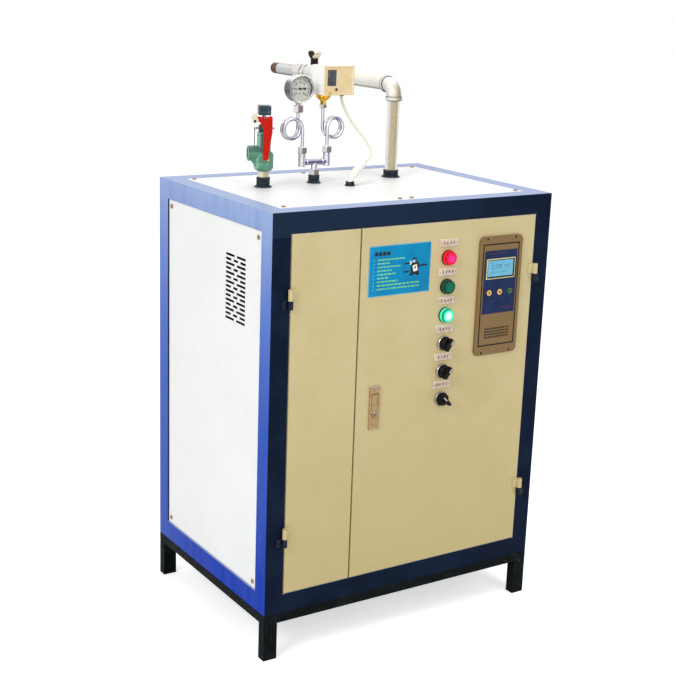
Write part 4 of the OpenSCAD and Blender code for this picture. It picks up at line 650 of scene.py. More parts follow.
WHITE, GLEAM = (250, 250, 250), (252, 252, 252)
CHROME_UPRIGHT = [(0.0, (92, 86, 104)), (0.2, (60, 50, 92)), (0.38, (206, 204, 218)), (0.75, GLEAM),
                  (0.9, (196, 192, 212)), (1.0, (250, 250, 252))]
ZINC_UPRIGHT = [(0.0, (140, 132, 112)), (0.3, (166, 158, 134)), (0.5, (206, 198, 176)),
                (0.72, (230, 224, 204)), (1.0, (238, 234, 218))]
CAST_ACROSS = [(0.0, (214, 210, 202)), (0.2, (238, 236, 230)), (0.5, (222, 216, 202)),
               (0.66, (190, 176, 148)), (0.82, (150, 136, 108)), (1.0, (206, 200, 184))]
STRIPES = {
    "riser_metal": ([(0.0, (248, 246, 242)), (0.13, (240, 234, 228)), (0.24, (200, 190, 180)),
                     (0.34, (180, 169, 140)), (0.5, (184, 174, 142)), (0.66, (170, 159, 127)),
                     (0.77, (174, 164, 132)), (0.85, (246, 242, 228)), (1.0, (250, 248, 244))],
                    ZINC_UPRIGHT, 0.34, 0.3, 0.35, 4),
    "pipe_metal": ([(0.0, (228, 224, 212)), (0.14, (240, 238, 228)), (0.3, (222, 214, 192)),
                    (0.42, (144, 134, 106)), (0.55, (170, 160, 130)), (0.72, (186, 177, 148)),
                    (0.88, (142, 134, 106)), (1.0, (190, 183, 156))], ZINC_UPRIGHT, 0.36, 0.3, 0.18, 14),
    "pipe_thread": ([(0.0, (196, 200, 200)), (0.15, (206, 210, 208)), (0.35, (186, 188, 184)),
                     (1.0, (170, 168, 160))],
                    [(0.0, (84, 68, 56)), (0.28, (128, 116, 100)), (0.45, (190, 190, 184)),
                     (0.7, (228, 230, 228)), (0.9, (214, 212, 204)), (1.0, (186, 172, 156))],
                    0.4, 0.2, 0.2, 5),
    "elbow_cast": (CAST_ACROSS, [(0.0, (140, 130, 112)), (0.35, (186, 178, 160)),
                                 (0.55, (226, 222, 210)), (1.0, (238, 236, 230))], 0.38, 0.1, 0.2, 7),
    "valve_nickel": (CAST_ACROSS, [(0.0, (108, 96, 96)), (0.25, (150, 140, 138)), (0.42, (206, 200, 196)),
                                   (0.6, (236, 234, 232)), (0.74, (196, 188, 190)),
                                   (0.84, (240, 238, 238)), (1.0, (246, 246, 246))], 0.24, 0.35, 0.12, 12),
    "chrome": ([(0.0, (112, 106, 130)), (0.09, (50, 40, 88)), (0.19, (232, 232, 240)), (0.5, GLEAM),
                (0.66, (222, 220, 230)), (0.75, (70, 54, 118)), (0.84, (204, 202, 214)),
                (0.93, (232, 230, 234)), (1.0, (92, 86, 104))], CHROME_UPRIGHT, 0.14, 0.35, 0.08, 10),
    "nut_metal": ([(0.0, (214, 214, 216)), (0.3, (236, 236, 234)), (0.5, (206, 202, 194)),
                   (0.66, (150, 140, 132)), (0.8, (112, 100, 94)), (1.0, (170, 164, 158))],
                  CHROME_UPRIGHT, 0.2, 0.3, 0.25, 4),
    "gauge_chrome": ([(0.0, (40, 30, 34)), (0.12, (88, 76, 96)), (0.22, (232, 226, 240)), (0.4, WHITE),
                      (0.56, (60, 48, 52)), (0.68, (240, 238, 238)), (0.8, GLEAM), (0.9, (60, 50, 54)),
                      (1.0, (150, 144, 146))],
                     [(0.0, (36, 28, 30)), (0.25, (70, 58, 62)), (0.4, (48, 38, 42)),
                      (0.5, (206, 202, 206)), (0.62, (90, 76, 104)), (0.8, (240, 240, 242)), (1.0, WHITE)],
                     0.16, 0.3, 0.05, 10),
    "hex_metal": ([(0.0, (236, 232, 218)), (0.35, (226, 218, 192)), (0.6, (196, 184, 150)),
                   (1.0, (150, 138, 110))], ZINC_UPRIGHT, 0.3, 0.3, 0.2, 5),
    "button_metal": ([(0.0, (60, 44, 34)), (0.3, (96, 74, 54)), (0.5, (196, 176, 150)),
                      (0.7, (150, 126, 96)), (1.0, (110, 88, 64))],
                     [(0.0, (90, 66, 46)), (0.5, (180, 160, 130)), (1.0, (230, 222, 214))], 0.2, 0.5),
}

# %% [markdown]
# The plain finishes are rows of one table: the fresh colour, the aged colour, and the range of the
# roughness. The rest of a row gives the size of its patches and of its grain in millimetres.
# Metals come first. A satin or cast metal that is only partly mirror-like says how much.

# %% Table of finishes
METALS = {
    "zinc_sheet": ((186, 190, 194), (166, 170, 174), (0.42, 0.54), dict(patch=22, grain=3)),
    "screw_metal": ((196, 158, 118), (104, 74, 66), (0.25, 0.45), dict(patch=2, grain=0.4, Metallic=0.6)),
    "satin_metal": ((206, 206, 204), (150, 150, 150), (0.28, 0.42), dict(patch=6)),
    "valve_brass": ((232, 206, 124), (196, 156, 78), (0.2, 0.42), dict(patch=6)),
    "lock_metal": ((178, 150, 106), (160, 132, 90), (0.3, 0.42), dict(patch=7, Metallic=0.35)),
    "bellows_brass": ((250, 216, 92), (196, 140, 36), (0.2, 0.4), dict(patch=4)),
    "drum_steel": ((166, 168, 170), (120, 104, 88), (0.35, 0.55), dict(patch=50, grain=1.5, depth=0.05)),
    "tank_steel": ((206, 210, 214), (176, 178, 180), (0.22, 0.36), dict(patch=40, stretch=(1, 1, 0.05))),
    "copper": ((214, 134, 92), (136, 84, 60), (0.25, 0.45), dict(patch=16)),
}
COATS = {
    # Dark paint; also the painted shade rings of the elbow and the lock's painted shade lines.
    "handle_paint": ((50, 28, 22), (28, 16, 14), (0.3, 0.5),
                     dict(patch=7, depth=0.04, Specular_IOR_Level=0.14)),
    # Black plastic; also the painted shade in the controller's grille and display.
    "black_plastic": ((11, 11, 13), (26, 26, 28), (0.3, 0.45), dict(patch=10, Specular_IOR_Level=0.14)),
    # Pale colour of the painted highlight on the lock's top edge.
    "lock_pale": ((220, 210, 208), (196, 184, 182), (0.25, 0.4), dict(patch=4)),
    "collar_rubber": ((34, 45, 56), (20, 27, 34), (0.5, 0.7),
                      dict(patch=7, depth=0.05, Specular_IOR_Level=0.25)),
    "needle_paint": ((22, 22, 26), (36, 36, 40), (0.35, 0.5), dict(patch=3)),
    "safety_dark": ((6, 48, 62), (4, 28, 36), (0.2, 0.4), dict(patch=6, depth=0.03, Coat_Weight=0.15)),
    "pump_paint": ((40, 74, 140), (26, 48, 96), (0.35, 0.5), dict(patch=20, depth=0.05)),
    "print_dark": ((24, 26, 36), (44, 46, 54), (0.5, 0.6), dict(patch=2, Specular_IOR_Level=0.2)),
    "print_white": ((240, 240, 236), (222, 222, 216), (0.45, 0.55), dict(patch=2)),
    # Cream of the painted highlight on the outlet handle's front wing.
    "cream_plastic": ((232, 222, 190), (212, 200, 164), (0.35, 0.5), dict(patch=8)),
    "hinge_paint": ((12, 20, 38), (20, 30, 50), (0.3, 0.45), dict(patch=8, Specular_IOR_Level=0.2)),
}
FINISH = {"frame_paint": frame_paint(), "base_paint": base_paint(), "door_paint": door_paint(),
          "panel_paint": powder_coat("panel_paint", (240, 240, 239), 0.4, 4)}
FINISH.update({name: striped(name, *row) for name, row in STRIPES.items()})
FINISH.update({name: worn(name, *row, **{"Metallic": 1.0, **more})
               for name, (*row, more) in METALS.items()})
FINISH.update({name: worn(name, *row, **more) for name, (*row, more) in COATS.items()})


def finish(name):
    """The Blender material of a named finish."""
    return FINISH[name].material


print(len(FINISH), "finishes")

# %% [markdown]
# ## The cabinet
# The welded frame is drawn again as one skin: a lattice of three cells each way, in which only the
# cells along the box's twelve edges are full. One bevel then rounds all the tubes, as square tube
# is rounded. The lips that carry the panels are thin rings inside it.

# %% Frame
TUBE, LIP_W = 40.0, 24.0
W, D, H = CABINET * 1000
LIP_IN, LIP_OUT, TOP_LIP = 4.5, 6.5, (H - 4, H - 2)


def ends(n):
    """1 at the first and last of n cells and 0 between them."""
    e = np.zeros(n, int)
    e[[0, -1]] = 1
    return e


edge_count = ends(3)[:, None, None] + ends(3)[None, :, None] + ends(3)[None, None, :]
tubes = cells([0, TUBE, W - TUBE, W], [0, TUBE, D - TUBE, D], [0, TUBE, H - TUBE, H], edge_count >= 2)


def lip(fixed_axis, low, high):
    """A flat ring inside one opening of the frame, between two depths along fixed_axis."""
    size = (W, D, H)
    lines = [[TUBE, TUBE + LIP_W, s - TUBE - LIP_W, s - TUBE] for s in size]
    lines[fixed_axis] = [low, high]
    across = [ends(3), ends(3), ends(3)]
    across[fixed_axis] = np.zeros(1, int)
    count = across[0][:, None, None] + across[1][None, :, None] + across[2][None, None, :]
    return cells(*lines, count >= 1)


lips = [lip(0, LIP_IN, LIP_OUT), lip(0, W - LIP_OUT, W - LIP_IN), lip(1, D - LIP_OUT, D - LIP_IN),
        lip(2, *TOP_LIP), cells([W / 2 - LIP_W, W / 2 + LIP_W], [TUBE + LIP_W, D - TUBE - LIP_W],
                                TOP_LIP, [[[1]]])]
piece("welded_frame", [([tubes] + lips, finish("frame_paint"))], replaces="cabinet_frame", bevel=2.6,
      segments=3)
dressed("base_frame", finish("base_paint"), 1.2)
print("frame", W, D, H)

# %% [markdown]
# The panels and doors are folded sheet. Their edges get a small bevel from the merged copy of the
# CAD mesh, so that every cut-out, slot and hinge knuckle stays where the CAD has it.

# %% Panels and doors
for node in ("side_panel_left", "side_panel_right", "back_panel", "top_panel_left", "top_panel_right"):
    dressed(node, finish("panel_paint"), 0.35)
dressed("floor_pan", finish("zinc_sheet"), 0.4)
for node in ("door_left", "door_right"):
    dressed(node, finish("door_paint"), 1.3, 3)
dressed("hinge_knuckles", finish("hinge_paint"), 0.7)

# %% [markdown]
# Screw heads are low domes with a cross pressed into them. A disc of rings and spokes gets its
# height from a formula, so that one shape serves every screw, turned to its own panel.

# %% Panel screws
HEAD_R, HEAD_H, CROSS_W, CROSS_L, CROSS_DEEP = 4.5, 3.0, 0.65, 2.3, 1.3
HEAD_RINGS, HEAD_SPOKES = 14, 40


def screw_head(place, axis, turn, radius=HEAD_R, height=HEAD_H):
    """A dome over a disc: height * (1 - 0.35 (r/R)^2), less the depth of the cross."""
    u, w = basis(axis)
    r = np.linspace(0, 1, HEAD_RINGS)[:, None]
    a = circle(HEAD_SPOKES)[None, :]
    x, y = r * radius * np.cos(a), r * radius * np.sin(a)
    k = radius / HEAD_R
    arm = np.minimum(np.maximum(np.abs(x) / CROSS_W, np.abs(y) / CROSS_L),
                     np.maximum(np.abs(y) / CROSS_W, np.abs(x) / CROSS_L)) / k
    z = height * (1 - 0.35 * r ** 2) - k * CROSS_DEEP * np.clip(1.6 - arm * 1.2, 0, 1)
    px, py = r * radius * np.cos(a + turn), r * radius * np.sin(a + turn)
    dome = np.asarray(place) + (px[..., None] * u + py[..., None] * w + z[..., None] * unit(axis)) * MM
    foot = dome[-1:] - unit(axis) * (z[-1:, :, None]) * MM
    return grid(np.concatenate([foot, dome[::-1]]))


rng = np.random.default_rng(7)
heads = []
for low, high in solids("panel_screws"):
    here = (low + high) / 2
    reach = (here - CORNER) / (CABINET / 2) - 1
    k = int(np.argmax(np.abs(reach)))
    axis = np.zeros(3)
    axis[k] = np.sign(reach[k])
    here[k] = (high if axis[k] > 0 else low)[k] - axis[k] * HEAD_H * MM
    heads.append(screw_head(here, axis, rng.uniform(0, math.pi)))
    heads.append(lathe(here - axis * 8 * MM, axis, [(2, 0), (2, 8.5)], 16))
piece("panel_screw_heads", [(heads, finish("screw_metal"))], replaces="panel_screws")
print(len(heads) // 2, "screws")

# %% [markdown]
# ## Lamps and selector switches
# Six control units stand in one column on the right door. A lamp is a ring and a domed lens whose
# colour depends on the distance from its axis, so that a lit one glows from its middle. A selector
# is a satin ring round a black knob with a fin, and a white line on the fin's pointing end.

# %% Curved blocks and printed marks
def sector(place, axis, r, h, a, steps=6):
    """A curved block between two radii, two heights and two angles in radians."""
    spoke = spokes(axis, np.linspace(a[0], a[1], steps)) * MM
    corners = [(r[0], h[0]), (r[1], h[0]), (r[1], h[1]), (r[0], h[1])]
    ring = [np.asarray(place) + spoke * radius + unit(axis) * height * MM for radius, height in corners]
    return grid(np.stack(ring, 1))


def quads(place, out, up, boxes):
    """Printed marks: flat quads on a plane, each (x, y, width, height, turn) about its middle."""
    out, up = unit(out), unit(up)
    across = np.cross(up, out)
    points = []
    for x, y, w, h, *turn in boxes:
        a = math.radians(turn[0]) if turn else 0.0
        for sx, sy in ((-1, -1), (1, -1), (1, 1), (-1, 1)):
            px, py = sx * w / 2, sy * h / 2
            points.append(np.asarray(place) + ((x + px * math.cos(a) - py * math.sin(a)) * across
                                               + (y + px * math.sin(a) + py * math.cos(a)) * up) * MM)
    faces = (np.arange(len(boxes))[:, None] * 4 + np.arange(4)).tolist()
    return np.array(points), faces


FACE = -2.0
COLUMN_X, COLUMN_Z, COLUMN_STEP = 401.5, 686.0, 58.5
RING_R = 15.5


def on_door(x, z):
    """Counts places from a point on the door's face: to the right, up, and out of it."""
    return lambda dx=0.0, dz=0.0, out=0.0: spot(x + dx, FACE - out, z + dz)


def column(i, out=0.0, dz=0.0):
    """A place on the column of control units, counted from the top, out in front of the door."""
    return on_door(COLUMN_X, COLUMN_Z - i * COLUMN_STEP)(0, dz, out)


# %% [markdown]
# A lens is pressed plastic, and fine rings on its inside scatter the light. The colour runs from the
# core to the edge, and the lamp that is lit gives off some light of its own. The unlit green lens
# has a faint painted glow.

# %% Lamps
LENS_R = 14.5
LENS = [(LENS_R, 0), (LENS_R, 7.5), (14.3, 9.2), (13.9, 11), (13.3, 12.4), (12.6, 13.2), (11.4, 13.6),
        (6, 13.9), (0, 14)]
LAMP_RING = [(14.6, 0), (RING_R, 0), (RING_R, 2.1), (15.3, 2.7), (15.0, 3.0), (14.75, 2.8), (14.6, 2.4)]


def lamp_glass(name, i, core, middle, edge, glow):
    """A lens colour that runs from its core to its edge, with a pressed ring pattern. The distance
    from the axis is the root of dx * dx + dz * dz, and 1 at the lens's rim."""
    f = Finish(name, linear(*middle), 0.25, Specular_IOR_Level=0.2)
    place = column(i)
    dx, dz = f.axis("x", float(place[0])), f.axis("z", float(place[2]))
    r = (dx * dx + dz * dz).root() * (1 / (LENS_R * MM))
    rim = r.step(0.82, 0.88) * (0 - f.facing("y")).step(0.1, 0.3)
    tone = f.mix(1 - r.step(0.3, 0.75), f.mix(rim, linear(*middle), linear(*edge)), linear(*core))
    f.feed("Base Color", tone)
    f.feed("Emission Color", tone)
    f.feed("Emission Strength", glow)
    f.bump((r * 42).wave() * 0.3 + f.noise(1.2, 2) * 0.4, 0.08, 0.5)
    return f


# The unlit green lens (unit 1) gets a faint painted glow of 0.03.
LAMPS = {"lamp_lens_red": {0: ((255, 44, 136), (238, 6, 44), (150, 2, 22), 0.4)},
         "lamp_lenses_green": {1: ((0, 108, 78), (0, 84, 62), (0, 46, 36), 0.03),
                               2: ((200, 255, 242), (52, 222, 172), (0, 112, 70), 0.45)}}
for node, units in LAMPS.items():
    piece(node + "_piece", [(lathe(column(i), FRONT, LENS, 72),
                             lamp_glass(f"{node}_{i}", i, *look).material) for i, look in units.items()],
          replaces=node)

# %% [markdown]
# The lamps have thin black rings. The switches have satin metal ones, with a row of narrow ribs for
# the fingers that screw them down.

# %% Rings
SWITCH_RING = [(13.85, 0), (RING_R, 0), (RING_R, 3.8), (15.2, 4.9), (14.8, 5.7), (14.4, 6.0),
               (14.0, 5.7), (13.85, 5.0)]
NOTCHES = 28
lamp_rings, rings = [hoop(column(i), FRONT, LAMP_RING, 72) for i in range(3)], []
for i in range(3, 6):
    rings.append(hoop(column(i), FRONT, SWITCH_RING, 72))
    rings += [sector(column(i), FRONT, (15.3, 15.75), (0.6, 3.6), (a, a + 0.1), 3) for a in circle(NOTCHES)]
piece("control_rings", [(rings, finish("satin_metal")), (lamp_rings, finish("black_plastic"))],
      replaces="control_bezels")

# %% [markdown]
# The knob's fin is a stack of rounded rectangles. Each is a circle whose cosine and sine are raised
# to a small power, which pushes its points out towards the corners.

# %% Selector knobs
KNOB = [(0, -6), (4, -6), (4, 0.3), (12.4, 0.3), (13, 0.9), (13, 11.2), (12.7, 12.6), (11.9, 13.6),
        (10.8, 14), (0, 14)]
KNOB_TURN = {"upper": -36, "middle": -36, "lower": 45}
FIN_RINGS = [(13.4, 12.9, 3.9), (15, 13.6, 3.95), (17, 14.4, 3.95), (22, 13.9, 3.8), (24.8, 13.5, 3.5),
             (25.7, 13.1, 3.1), (26.0, 12.5, 2.4)]
FIN_POWER, GRIPS, GRIP_ANGLE = 0.35, 36, 0.08
c, z = np.cos(circle(48))[:, None], np.sin(circle(48))[:, None]
box_x, box_z = (np.sign(v) * np.abs(v) ** FIN_POWER for v in (c, z))
for i, (which, angle) in enumerate(KNOB_TURN.items(), 3):
    a = math.radians(angle)
    along, across = np.array([-math.sin(a), 0, math.cos(a)]), np.array([math.cos(a), 0, math.sin(a)])
    hub = column(i)
    fin = np.stack([hub + (across * box_x * half_w + along * box_z * half_l + FRONT * out) * MM
                    for out, half_l, half_w in FIN_RINGS])
    line = slab(hub + (along * 7.0 + FRONT * 25.95) * MM, FRONT, along, 1.7, 10.5, 0.22, 0.5, 0.08, 4)
    grips = [sector(hub, FRONT, (12.9, 13.25), (1.2, 11), (g, g + GRIP_ANGLE), 3) for g in circle(GRIPS)]
    piece(f"selector_{which}_piece", [([lathe(hub, FRONT, KNOB, 64), grid(fin)] + grips,
                                       finish("black_plastic")), (line, finish("print_white"))],
          replaces=f"selector_knob_{which}")

# %% [markdown]
# Above each unit sits a small pale label. Real ones carry a word; these only carry strokes that
# look like one, drawn by a seeded random generator, so that nothing can be read.

# %% Label plates
LABEL_W, LABEL_H, LABEL_T, LABEL_RISE = 43.0, 14.5, 3.0, 30.0
label = worn("label_metal", (226, 208, 194), (202, 182, 166), (0.3, 0.45), patch=5, depth=0.03)
# Painted highlight: faces of the labels that look up are near white.
rim = label.facing("z").step(0.2, 0.8)
soil = label.noise(5, 4, 0.6).step(0.4, 0.65)
label.feed("Base Color", label.mix(rim, label.mix(soil, linear(218, 200, 182), linear(192, 168, 146)),
                                   linear(250, 248, 240)))
plates, strokes = [], []
for i in range(6):
    plates.append(slab(column(i, 0, LABEL_RISE), FRONT, UP, LABEL_W, LABEL_H, LABEL_T, 1.0, 0.45))
    boxes = [(s * 18.5, 0, 1.6, 1.6) for s in (-1, 1)]
    for x in (-11.4, -3.8, 3.8, 11.4):
        boxes += [(x, row, rng.uniform(2.8, 4.8), 0.75) for row in (-2.2, 0, 2.2)]
        boxes += [(x + rng.uniform(-1.6, 1.6), rng.uniform(-0.8, 0.8), 0.75, rng.uniform(3.6, 5.6))
                  for _ in range(2)]
    strokes.append(quads(column(i, LABEL_T + 0.05, LABEL_RISE), FRONT, UP, boxes))
piece("label_plate_pieces", [(plates, label.material), (strokes, finish("print_dark"))],
      replaces="label_plates")
dressed("control_rear_blocks", finish("black_plastic"), 0.6)

# %% [markdown]
# ## The instruction plate
# A printed sheet is glued to the door. Its print is thin: a pale edge, a title of four blocks, nine
# rows of word-like dashes with bullets, and a picture of a figure among four pointed-out words.

# %% Instruction plate
PLATE_W, PLATE_H, PLATE_OUT = 146.0, 100.0, 0.6
on_plate = on_door(286.0, 672.0)
blue = worn("plate_print", (0, 136, 184), (0, 126, 176), (0.3, 0.4), patch=30, depth=0.01,
            Specular_IOR_Level=0.14)
lime = worn("print_lime", (150, 232, 110), (130, 216, 100), (0.4, 0.5), patch=3)
cyan = worn("print_cyan", (150, 214, 236), (132, 200, 226), (0.4, 0.5), patch=3)
border = [(0, s * (PLATE_H / 2 - 0.8), PLATE_W - 1.4, 0.7) for s in (-1, 1)]
border += [(s * (PLATE_W / 2 - 0.8), 0, 0.7, PLATE_H - 2.2) for s in (-1, 1)]
bullets, words = [], []
for row, right in enumerate((10.7, -23, 0.5, -20, -9.7, -26, -1.5, 47, 47)):
    z = 22 - row * 7.2
    bullets.append((-61.8, z, 1.6, 1.6))
    x = -53.6
    while x < right - 2:
        w = min(rng.uniform(3, 10), right - x)
        words.append((x + w / 2, z + 0.8, w, 1.05))
        words.append((x + w / 2, z - 0.8, w * rng.uniform(0.7, 1), 0.95))
        x += w + 1.3
title = [(-56.5 + 9.4 * k, 34, 7.6, 7.5) for k in range(4)]
figure = [(35, -1, 20, 24), (35, 13, 9, 5), (26, -13, 6, 3.5), (43, -13, 6, 3.5)]
panel_in_figure = [(36, 0, 10.5, 13, 14), (24.5, 11, 5.5, 6.5, -20), (33, 13.4, 4.6, 4)]
pointers = [(16.5, 10.4, 13, 3.2), (34, 19.4, 10, 3), (55, 4.4, 19.4, 3.4), (14.7, -6, 12.3, 3.2)]
pointers += [(25, 11, 1.8, 2.2), (36, 1, 3.2, 5, 14)]
piece("instruction_plate_piece",
      [(slab(on_plate(), FRONT, UP, PLATE_W, PLATE_H, PLATE_OUT, 2.0, 0.2), blue.material),
       ([quads(on_plate(0, 0, PLATE_OUT + 0.04), FRONT, UP, border + bullets)], cyan.material),
       ([quads(on_plate(0, 0, PLATE_OUT + 0.04), FRONT, UP, words)], lime.material),
       ([quads(on_plate(0, 0, PLATE_OUT + 0.1), FRONT, UP, panel_in_figure)], finish("print_white")),
       ([quads(on_plate(0, 0, PLATE_OUT + 0.06), FRONT, UP, title + figure),
         quads(on_plate(0, 0, PLATE_OUT + 0.14), FRONT, UP, pointers)], finish("print_dark"))],
      replaces="instruction_plate")

# %% [markdown]
# ## The controller
# The controller's frame keeps the CAD shape. Its groove and the small holes of its grille get painted
# shade, which the recipe finds by depth: whatever lies more than 0.9 mm behind the front surface,
# inside the outer rim, is painted black. A painted dark line along the groove makes it wider.

# %% Controller
CTRL_T = 5.0
GROOVE_X, GROOVE_Z, GROOVE_MID, GROOVE_LINE = 45.7, 105.7, 2.0, 1.4
on_ctrl = on_door(534.0, 597.0)
bronze = Finish("controller_plastic", linear(126, 99, 60), 0.42, Specular_IOR_Level=0.35)
mid_x, _, mid_z = (float(v) for v in on_ctrl())
side, rise = bronze.axis("x", mid_x).abs(), bronze.axis("z", mid_z)
# Painted shade: recesses deeper than 0.9 mm and a line along the groove are black.
deep = bronze.axis("y", float(on_ctrl(0, 0, CTRL_T - 0.9)[1])) > 0.0
inside = (side < 49 * MM) * (rise.abs() < 122 * MM)
aside, above = side - GROOVE_X * MM, (rise - GROOVE_MID * MM).abs() - GROOVE_Z * MM
outward = (aside + above + (aside - above).abs()) * 0.5
line = (outward.abs() < GROOVE_LINE * MM) * inside
fleck = bronze.noise(0.9, 2).step(0.45, 0.65)
tone = bronze.mix(fleck * 0.35, linear(128, 101, 60), linear(106, 82, 47))
bronze.feed("Base Color", bronze.mix((deep * inside + line).clamp(), tone, linear(14, 13, 14)))
bronze.feed("Roughness", fleck * 0.12 + 0.36)
bronze.bump(bronze.noise(0.7, 2), 0.05)
dressed("controller_bezel", bronze.material, 0.7)

film = worn("membrane_film", (28, 44, 86), (22, 36, 74), (0.32, 0.42), patch=20, grain=0.5, depth=0.01,
            Specular_IOR_Level=0.14)
dressed("controller_membrane", film.material, 0.2)
# Painted shade: black quads over the grille's holes.
grille = [((c - 5.5) * 5.4, -78 + (k - 1.5) * 6, 3.5, 3.9) for c in range(12) for k in range(4)]
piece("grille_holes", [([quads(on_ctrl(0, 0, CTRL_T + 0.02), FRONT, UP, grille)], finish("black_plastic"))],
      body="right_door")
faint_rows = []
for x0, x1, dz in ((-30, 18, 89), (6, 34, -26)):
    for x in np.arange(x0, x1, 6.0):
        faint_rows += [(x, dz + rng.uniform(-1, 1), 4.4, 0.8), (x + rng.uniform(-1, 1), dz, 0.8, 4.2)]
piece("membrane_print", [([quads(on_ctrl(0, 0, CTRL_T + 1.04), FRONT, UP, faint_rows)],
                          worn("print_maroon", (112, 34, 62), (84, 34, 66), (0.4, 0.5), patch=4).material)],
      body="right_door")

# %% [markdown]
# The display is a pale blue film in a cream frame. Its readout is made of seven-segment digits and
# small marks, and says nothing.

# %% Display
SEGMENTS = {"0": "abcdef", "1": "bc", "2": "abged", "3": "abgcd", "4": "fgbc", "5": "afgcd",
            "6": "afgedc", "7": "abc", "8": "abcdefg", "9": "abcdfg"}


def digit(sign, x, y, size, weight):
    """A seven-segment digit of a given height as stroke boxes about its middle."""
    h, w, t = size / 2, size * 0.5, size * weight
    where = {"a": (0, h, w, t), "g": (0, 0, w, t), "d": (0, -h, w, t), "b": (w / 2, h / 2, t, h),
             "c": (w / 2, -h / 2, t, h), "f": (-w / 2, h / 2, t, h), "e": (-w / 2, -h / 2, t, h)}
    return [(x + px, y + py, bw, bh) for px, py, bw, bh in (where[s] for s in SEGMENTS[sign])]


lcd = worn("display_film", (116, 188, 216), (106, 176, 206), (0.2, 0.28), patch=30, grain=2, depth=0.005,
           Specular_IOR_Level=0.14)
lcd_frame = worn("display_frame", (220, 206, 150), (204, 190, 132), (0.35, 0.45), patch=10)
readout = [box for k, sign in enumerate("0125") for box in digit(sign, -21 + 7 * k, 4, 7, 0.12)]
readout += [box for k, sign in enumerate("060") for box in digit(sign, 12 + 4.6 * k, 5, 4, 0.12)]
readout += [(-22 + 6.4 * k, -8, 4.2, 0.9) for k in range(7)]
readout += [(rng.uniform(-26, 26), rng.uniform(-13, 13), rng.uniform(0.8, 3), rng.uniform(0.6, 1.4))
            for _ in range(16)]
piece("controller_display_piece",
      [(slab(on_ctrl(0, 57, 0), FRONT, UP, 74, 42, 7.2, 1.5, 0.5), lcd_frame.material),
       # Painted shadow: a black sheet under the film shows along its right and lower edges.
       (slab(on_ctrl(0, 57, 7.15), FRONT, UP, 70, 38, 0.1, 1.2, 0.03), finish("black_plastic")),
       (slab(on_ctrl(-1.5, 57.8, 7.2), FRONT, UP, 65, 33, 0.15, 0.8, 0.05), lcd.material),
       ([quads(on_ctrl(-1.5, 57.8, 7.4), FRONT, UP, readout)], finish("print_dark"))],
      replaces="controller_display")

# %% [markdown]
# Three round keys stand a little out of the film, two of them amber and one green. They are dished,
# so that a finger finds their middle, and each has a small dark sign.

# %% Keys
KEY = [(0, -1.8), (6, -1.8), (6, 0.7), (5.7, 1.0), (5.1, 1.2), (3.6, 1.05), (0, 0.95)]
amber = worn("amber_key", (230, 184, 92), (214, 166, 76), (0.3, 0.4), patch=3)
leaf = worn("green_key", (54, 108, 40), (40, 90, 30), (0.3, 0.4), patch=3)
KEY_STEP, KEY_SIGN = 27.3, [(0, 0, 4.6, 2.4), (0, 1.9, 2.2, 0.7), (0, -1.9, 2.2, 0.7)]
for k, which in enumerate(("left", "middle", "right")):
    dx = 1 + (k - 1) * KEY_STEP
    piece(f"controller_key_{which}_piece",
          [(lathe(on_ctrl(dx, 7.5, CTRL_T + 1), FRONT, KEY, 48),
            (leaf if which == "right" else amber).material),
           ([quads(on_ctrl(dx, 7.5, CTRL_T + 2.08), FRONT, UP, KEY_SIGN)], finish("print_dark"))],
          replaces=f"controller_key_{which}")
screws = [screw_head(on_ctrl(sx * 36.5, sz * 119, CTRL_T - 2), FRONT, 0.4, 2.2, 1.6)
          for sx in (-1, 1) for sz in (-1, 1)]
piece("controller_screws", [(screws, finish("handle_paint"))], body="right_door")
dressed("controller_housing", finish("black_plastic"), 1.0)

# %% [markdown]
# ## The lock
# A die-cast plate with a lever that folds out and a push button that frees it. The lever keeps
# the CAD shape with softer edges, and the button gets its keyhole.

# %% Lock
on_lock = on_door(238.0, 397.0)
dressed("lock_plate", finish("lock_metal"), 0.5)
dressed("lock_lever", finish("lock_metal"), 0.35)
dressed("lock_tongue", finish("satin_metal"), 0.4)
BUTTON = [(0, 0), (6.5, 0), (6.5, 4.8), (6.2, 5.6), (5.5, 6.0), (4.4, 5.8), (4.1, 5.5), (0, 5.5)]
piece("lock_button_piece",
      [(lathe(on_lock(0, -14, 0), FRONT, BUTTON, 48), finish("button_metal")),
       ([quads(on_lock(0, -14, 5.56), FRONT, UP, [(0, 0, 0.9, 3.6), (0, 0.8, 1.7, 1.2)])],
        finish("print_dark"))], replaces="lock_button")
# Painted shade: dark lines round the lever and under the top edge. The pale strip on the top edge is a
# painted highlight.
painted_shade_lines = [(0, 41.9, 23, 0.8), (0, 29.6, 15.4, 0.7), (-7.6, 13.5, 0.7, 32), (7.6, 13.5, 0.7, 32)]
piece("lock_cap", [(slab(on_lock(0, 43.2, 3.45), FRONT, UP, 23, 1.5, 0.45, 0.5, 0.2), finish("lock_pale")),
                   ([quads(on_lock(0, 0, 3.55), FRONT, UP, painted_shade_lines)], finish("handle_paint"))],
      body="right_door")

# %% [markdown]
# ## Collars on the top panels
# Rubber collars close the holes round the pipes. Each is a ribbed ring on a flange, and the
# cable's gland has eight teeth that grip the sleeve.

# %% Collars and gland
def collar_profile(bore, body, flange, height):
    """A closed profile: a flange, a body with three ribs, and a rounded lip, over a bore."""
    rows = [(bore, 0), (flange, 0), (flange, 1.2), (flange - 0.7, 2), (body + 0.9, 2.3)]
    for k in range(3):
        z = 3.4 + (height - 7) * k / 3
        rows += [(body, z), (body + 0.05, z + 1), (body - 0.9, z + 1.5), (body - 0.9, z + 2.2)]
    return rows + [(body, height - 3), (body, height - 1), (body - 0.8, height), (bore + 0.8, height),
                   (bore, height - 0.8)]


